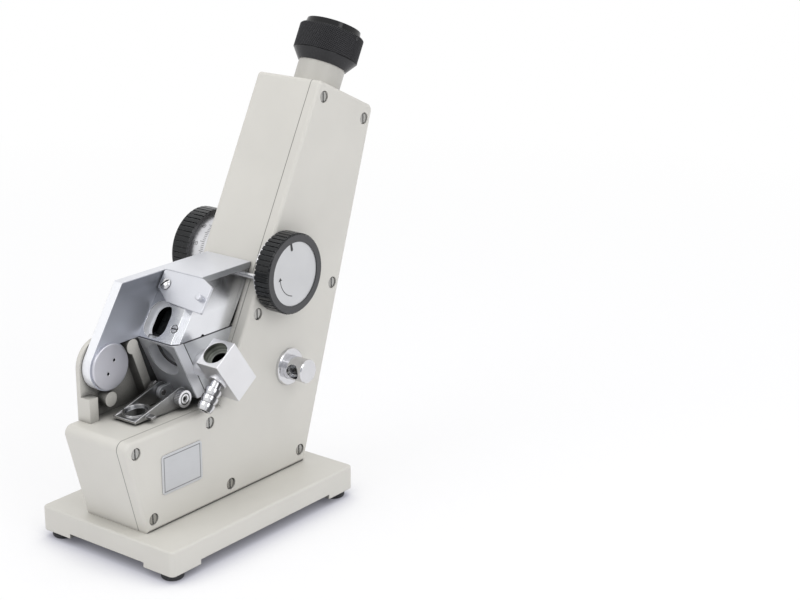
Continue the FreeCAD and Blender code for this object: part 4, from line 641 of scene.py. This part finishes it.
FINISHES = {
    "stand_paint": paint("stand_paint", PAINT),
    "tower_paint": paint("tower_paint", PAINT, CASTING_SEAM_X),
    # the bracket's paint takes a closer, deeper painted shade in its hollows
    "bracket_paint": paint("bracket_paint", lighter(PAINT, 0.96), painted_hollow_shade=CLOSE_HOLLOW_SHADE),
    "web_paint": web_paint(),
    "tube_paint": paint("tube_paint", lighter(PAINT, 0.84)),
    "foot_rubber": plastic("foot_rubber", (0.03, 0.03, 0.033), 0.7, 0.85),
    "dark_screw_steel": screw_metal("dark_screw_steel", (0.42, 0.415, 0.4)),
    "shade_screw": screw_metal("shade_screw_steel", (0.66, 0.66, 0.68)),
    "face_screw": face_screw_metal(),
    "bright_steel": metal("bright_steel", (0.78, 0.78, 0.79), 0.16, 0.26),
    "satin_aluminium": metal("satin_aluminium", (0.84, 0.84, 0.86), 0.32, 0.42),
    "foil_aluminium": metal("foil_aluminium", (0.66, 0.665, 0.68), 0.4, 0.5),
    "drum_metal": metal("drum_metal", (0.68, 0.68, 0.7), 0.28, 0.36, (0.05, 1, 1)),
    "bright_chrome": metal("bright_chrome", (0.68, 0.68, 0.7), 0.1, 0.16, grain=900, variation=0.02),
    "black_knob_plastic": knob_plastic(),
    "black_anodised": plastic("black_anodised", (0.02, 0.02, 0.022), 0.3, 0.4, 1400),
    "black_gloss": plastic("black_gloss", (0.008, 0.008, 0.009), 0.1, 0.16, 200, 0.000005, shine=0.3),
    "bush_brass": metal("bush_brass", (0.72, 0.55, 0.28), 0.25, 0.35, (0.05, 1, 1)),
    "optical_glass": glass("optical_glass", (0.97, 0.98, 0.97)),
    "silvered_glass": metal("silvered_glass", (0.5, 0.51, 0.53), 0.03, 0.06, grain=200, depth=0.000001),
    # the prisms are coloured near black as painted shade inside their boxes
    "shaded_prism_glass": plastic("shaded_prism_glass", (0.006, 0.007, 0.007), 0.25, 0.35, 600, 0.000004, shine=0.08),
    "mark_black": plastic("mark_black", (0.03, 0.03, 0.032), 0.5, 0.6, 1800, 0.000003),
    "lid_arm": arm_metal(),
    "upper_box": upper_box_metal(),
    "lower_box": lower_box_metal(),
    "window_plate": window_metal(),
    "mirror_frame": metal("mirror_frame_aluminium", (0.34, 0.34, 0.34), 0.26, 0.36, variation=0.06,
                          edge=0.5),
    "focus_ring": knurled_black(),
    "pivot_chrome": pivot_chrome(),
    "hinge_cap": cap_metal(),
    "block": block_metal(),
    "shade": metal("shade_aluminium", (0.64, 0.65, 0.69), 0.34, 0.44),
    "nozzle": nozzle_metal(),
    "badge": badge_metal(),
}
NODE_FINISH = {
    "lid_frame": "lid_arm", "feed_box": "upper_box", "lower_box": "lower_box",
    "window_plate": "window_plate", "mirror_frame": "mirror_frame", "focus_ring": "focus_ring",
    # both prisms take the near-black painted shade
    "mirror_screws": "pivot_chrome", "feed_prism": "shaded_prism_glass", "measuring_prism": "shaded_prism_glass",
    "hinge_cap": "hinge_cap", "face_screw": "face_screw", "thermometer_block": "block",
    "shade_plate": "shade", "shade_stud": "shade", "hose_nozzle": "nozzle", "nameplate": "badge",
}


def dress_nodes():
    """Gives each CAD node its own finish, or else the one of its slot."""
    slots = {item["node"]: item["material_slot"] for item in frame["record"]["subparts"]}
    for name, item in frame["nodes"].items():
        item.data.materials.clear()
        item.data.materials.append(FINISHES[NODE_FINISH.get(name, slots[name])].material)


# Small pieces


def new_object(name, shape):
    """Makes an object of a bmesh in metres."""
    bmesh.ops.recalc_face_normals(shape, faces=shape.faces)
    mesh = bpy.data.meshes.new(name)
    shape.to_mesh(mesh)
    shape.free()
    made = bpy.data.objects.new(name, mesh)
    bpy.context.collection.objects.link(made)
    return made


def add_piece(name, shape, finish, body):
    """Makes a piece of a bmesh in millimetres, and lets it ride on a body."""
    bmesh.ops.scale(shape, vec=(MM, MM, MM), verts=shape.verts)
    piece = new_object(name, shape)
    piece.data.materials.append(FINISHES[finish].material)
    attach(piece, body)
    return piece


def add_ring(shape, points):
    return [shape.verts.new(point) for point in points]


def add_face(shape, points):
    shape.faces.new(add_ring(shape, points))


def join_rings(shape, first, second):
    count = len(first)
    for index in range(count):
        after = (index + 1) % count
        shape.faces.new((first[index], first[after], second[after], second[index]))


def facing(origin, direction, hint=(1, 0, 0)):
    """Turns (across, up, out) into the frame's millimetres, with out along a direction."""
    out = Vector(direction).normalized()
    across = (Vector(hint) - out * out.dot(Vector(hint))).normalized()
    up = out.cross(across)
    start = Vector(origin)
    return lambda a, b, c: start + across * a + up * b + out * c


def lathe(shape, to_frame, profile, steps, corners=0):
    """Turns (radius, height) points round the outward axis, and closes the last ring.

    With a number of corners, the last two rings are polygons of as many sides.
    """
    rings = []
    for index, (radius, height) in enumerate(profile):
        points = []
        for step in range(steps):
            angle = 2 * math.pi * step / steps
            reach = radius
            if corners and index >= len(profile) - 2:
                half = math.pi / corners
                reach = radius * math.cos(half) / math.cos((angle % (2 * half)) - half)
            points.append(to_frame(reach * math.cos(angle), reach * math.sin(angle), height))
        rings.append(add_ring(shape, points))
    for first, second in zip(rings, rings[1:]):
        join_rings(shape, first, second)
    shape.faces.new(rings[-1])


def number_outline(text, size):
    """The flat faces of a number, in millimetres, centred."""
    curve = bpy.data.curves.new("number", "FONT")
    curve.body = text
    curve.size = size
    curve.align_x = curve.align_y = "CENTER"
    holder = bpy.data.objects.new("number", curve)
    bpy.context.collection.objects.link(holder)
    bpy.context.view_layer.update()
    mesh = bpy.data.meshes.new_from_object(holder)
    faces = [[tuple(mesh.vertices[index].co)[:2] for index in face.vertices] for face in mesh.polygons]
    bpy.data.objects.remove(holder)
    bpy.data.curves.remove(curve)
    bpy.data.meshes.remove(mesh)
    return faces


DRUM_RADIUS = 18.82
TICKS_X, NUMBERS_X = -24.0, -29.8
TICK_HALF, LONG_TICK, MIDDLE_TICK, SHORT_TICK = 0.14, 3.2, 2.6, 1.8
NUMBER_SIZE = 3.0


def add_drum_scale():
    """Divisions and plain numbers round the dispersion drum."""
    shape = bmesh.new()

    def on_drum(x, angle):
        return OPTICAL_PLACE + Vector((x, DRUM_RADIUS * math.cos(angle), DRUM_RADIUS * math.sin(angle)))

    for step in range(120):
        angle = math.radians(3 * step)
        end = TICKS_X - (LONG_TICK if step % 10 == 0 else MIDDLE_TICK if step % 5 == 0 else SHORT_TICK)
        half = TICK_HALF / DRUM_RADIUS
        add_face(shape, [on_drum(x, angle + side) for x, side in (
            (TICKS_X, -half), (TICKS_X, half), (end, half), (end, -half))])
    for index in range(12):
        angle = math.radians(30 * index + 4)
        for corners in number_outline(str(index % 6 * 10), NUMBER_SIZE):
            add_face(shape, [on_drum(x + NUMBERS_X, angle + y / DRUM_RADIUS) for x, y in corners])
    add_piece("drum_divisions", shape, "mark_black", "dispersion")


LOCK_FACE_X = 31.34
ARROW_RADIUS, ARROW_HALF, ARROW_FROM, ARROW_TO = 10.95, 0.2, 186, 258
HEAD_HALF, HEAD_TIP = 1.25, 177
NOTCH_ANGLE, NOTCH_OUTER, NOTCH_INNER, NOTCH_HALF = 99, 16.0, 13.0, 0.82


def add_lock_marks():
    """A notch and a plain arrow that shows the way to turn, on the lock knob's face."""
    to_frame = facing((LOCK_FACE_X, LOCK_PLACE.y, LOCK_PLACE.z), (1, 0, 0), (0, 1, 0))
    shape = bmesh.new()

    def add_mark(places):
        add_face(shape, [to_frame(radius * math.cos(math.radians(degrees)),
                                  radius * math.sin(math.radians(degrees)), 0)
                         for radius, degrees in places])

    steps = 24
    turns = [ARROW_FROM + (ARROW_TO - ARROW_FROM) * step / steps for step in range(steps + 1)]
    inner, outer = ARROW_RADIUS - ARROW_HALF, ARROW_RADIUS + ARROW_HALF
    for one, two in zip(turns, turns[1:]):
        add_mark([(inner, one), (outer, one), (outer, two), (inner, two)])
    add_mark([(ARROW_RADIUS - HEAD_HALF, ARROW_FROM), (ARROW_RADIUS, HEAD_TIP),
              (ARROW_RADIUS + HEAD_HALF, ARROW_FROM)])
    notch = [(NOTCH_OUTER, NOTCH_ANGLE - 2.4), (NOTCH_OUTER, NOTCH_ANGLE + 2.4)]
    for step in range(9):
        turn = math.pi * step / 8
        side = math.degrees(NOTCH_HALF * math.cos(turn) / NOTCH_INNER)
        notch.append((NOTCH_INNER - 0.85 * math.sin(turn), NOTCH_ANGLE + side))
    add_mark(notch)
    add_piece("lock_face_marks", shape, "mark_black", "lock")


# (radius, height) points, from the face inwards
SOCKET_PROFILE = [(1.62, -0.35), (1.15, -0.35), (1.15, -1.5)]
SET_SCREW_PROFILE = [(1.0, -0.1), (0.95, 0.1), (0.62, 0.12), (0.5, -0.05)]
PIVOT_HEAD_X = 10.8
RING_SCREW_PLACE = (16.72, 104.6, 228.6)
KNOB_RADIUS, KNOB_SCREW_X, KNOB_SCREW_LEAN = 21.2, -40.1, math.radians(22)


def add_socket_screws():
    """Hexagon sockets in the mirror's pivot screws, and the set screws of the ring and the knob."""
    for name, side in (("mirror_pivot_socket", 1), ("mirror_pivot_socket_left", -1)):
        shape = bmesh.new()
        face = (side * PIVOT_HEAD_X, MIRROR_PLACE.y, MIRROR_PLACE.z)
        lathe(shape, facing(face, (side, 0, 0), (0, 1, 0)), SOCKET_PROFILE, 36, 6)
        add_piece(name, shape, "dark_screw_steel", "stand")
    knob_out = Vector((0, -math.sin(KNOB_SCREW_LEAN), math.cos(KNOB_SCREW_LEAN)))
    on_knob = OPTICAL_PLACE + Vector((KNOB_SCREW_X, 0, 0)) + knob_out * KNOB_RADIUS
    for name, body, place, out, hint, slot in (
            ("focus_set_screw", "focus", RING_SCREW_PLACE, (1, 0, 0), OPTICAL_OUT, "black_anodised"),
            ("knob_set_screw", "dispersion", on_knob, knob_out, (1, 0, 0), "black_knob_plastic")):
        shape = bmesh.new()
        lathe(shape, facing(place, out, hint), SET_SCREW_PROFILE, 30, 6)
        add_piece(name, shape, "mark_black", body)


DOME_RADIUS, DOME_FOOT, DOME_RISE = 3.0, 2.1, 1.55
SLOT_TURN, SLOT_HALF_LENGTH, SLOT_HALF, SLOT_FLOOR, SLOT_ROOF = 0.9, 4, 0.4, 2.5, 5


def slot_cutter(to_frame):
    """The block that cuts the slot into the shade screw's dome."""
    shape = bmesh.new()
    cosine, sine = math.cos(SLOT_TURN), math.sin(SLOT_TURN)
    corners = [(-SLOT_HALF_LENGTH, -SLOT_HALF), (SLOT_HALF_LENGTH, -SLOT_HALF),
               (SLOT_HALF_LENGTH, SLOT_HALF), (-SLOT_HALF_LENGTH, SLOT_HALF)]
    low, high = (add_ring(shape, [to_frame(a * cosine - b * sine, a * sine + b * cosine, height) * MM
                                  for a, b in corners]) for height in (SLOT_FLOOR, SLOT_ROOF))
    join_rings(shape, low, high)
    shape.faces.new(low[::-1])
    shape.faces.new(high)
    return new_object("slot_cutter", shape)


def add_shade_screw():
    """The domed, slotted head that the light shade turns on."""
    to_frame = facing(SHADE_PLACE, LID_OUT)
    shape = bmesh.new()
    profile = [(1.55, -3.0), (1.55, 1.72), (2.95, 1.72), (DOME_RADIUS, DOME_FOOT)]
    for step in range(1, 10):
        turn = math.pi / 2 * step / 10
        profile.append((DOME_RADIUS * math.cos(turn), DOME_FOOT + DOME_RISE * math.sin(turn)))
    lathe(shape, to_frame, profile, 48)
    piece = add_piece("shade_screw_head", shape, "shade_screw", "lid")
    for face in piece.data.polygons:
        face.use_smooth = True
    cutter = slot_cutter(to_frame)
    cut = piece.modifiers.new("slot", "BOOLEAN")
    cut.object = cutter
    cut.operation = "DIFFERENCE"
    bpy.context.view_layer.update()
    carved = bpy.data.meshes.new_from_object(piece.evaluated_get(bpy.context.evaluated_depsgraph_get()))
    piece.modifiers.clear()
    piece.data = carved
    bpy.data.objects.remove(cutter)
    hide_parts("shade_screw")


KNURL_STEPS, KNURL_ROWS, KNURL_DEPTH = 176, 20, 0.35
# (height, radius) points from the knurl's top, through the bore, to the knurl's foot
RING_PROFILE = [(122.0, 16.6), (122.41, 16.3), (122.41, 9.3), (116.41, 9.3), (116.41, 12.15),
                (104.11, 12.15), (104.11, 12.7), (109.01, 16.3), (109.45, 16.3), (109.5, 16.6)]


def add_focus_ring():
    """The focusing ring, its knurl cut as rows of small pyramids."""
    to_frame = facing(OPTICAL_PLACE, OPTICAL_OUT)
    shape = bmesh.new()
    around = [math.tau * step / KNURL_STEPS for step in range(KNURL_STEPS)]

    def turned(height, radii):
        return add_ring(shape, [to_frame(radius * math.cos(turn), radius * math.sin(turn), height)
                                for radius, turn in zip(radii, around)])

    bands = []
    for row in range(KNURL_ROWS + 1):
        radii = [KNURL_RADIUS - KNURL_DEPTH * ((step + row + 1) % 2) for step in range(KNURL_STEPS)]
        bands.append(turned(KNURL_LOW + (KNURL_HIGH - KNURL_LOW) * row / KNURL_ROWS, radii))
    for row, (lower, upper) in enumerate(zip(bands, bands[1:])):
        for step in range(KNURL_STEPS):
            after = (step + 1) % KNURL_STEPS
            corners = [lower[step], lower[after], upper[after], upper[step]]
            if (step + row) % 2 == 0:
                corners = corners[1:] + corners[:1]
            shape.faces.new(corners[:3])
            shape.faces.new([corners[0], corners[2], corners[3]])
    plain = [turned(height, [radius] * KNURL_STEPS) for height, radius in RING_PROFILE]
    rest = [bands[-1], *plain, bands[0]]
    for first, second in zip(rest, rest[1:]):
        join_rings(shape, first, second)
    piece = add_piece("focus_ring_knurled", shape, "focus_ring", "focus")
    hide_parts("focus_ring")


WEB_OUTLINE = [(-27.4, 94.2), (-17.2, 65.1), (-5.0, 65.1), (-8.5, 72.0), (-19.0, 97.6)]


def add_bracket_web():
    """The thin web that closes the side of the hinge bracket towards the tower."""
    shape = bmesh.new()
    outer, inner = (add_ring(shape, [(x, y, z) for y, z in WEB_OUTLINE])
                    for x in (WEB_OUTER_X, WEB_INNER_X))
    join_rings(shape, outer, inner)
    shape.faces.new(outer[::-1])
    shape.faces.new(inner)
    add_piece("bracket_web", shape, "web_paint", "stand")


add_camera()
add_lights()
add_world()
add_floor()
dress_nodes()
add_drum_scale()
add_lock_marks()
add_socket_screws()
add_shade_screw()
add_focus_ring()
add_bracket_web()
bpy.context.scene.view_settings.view_transform = "Standard"
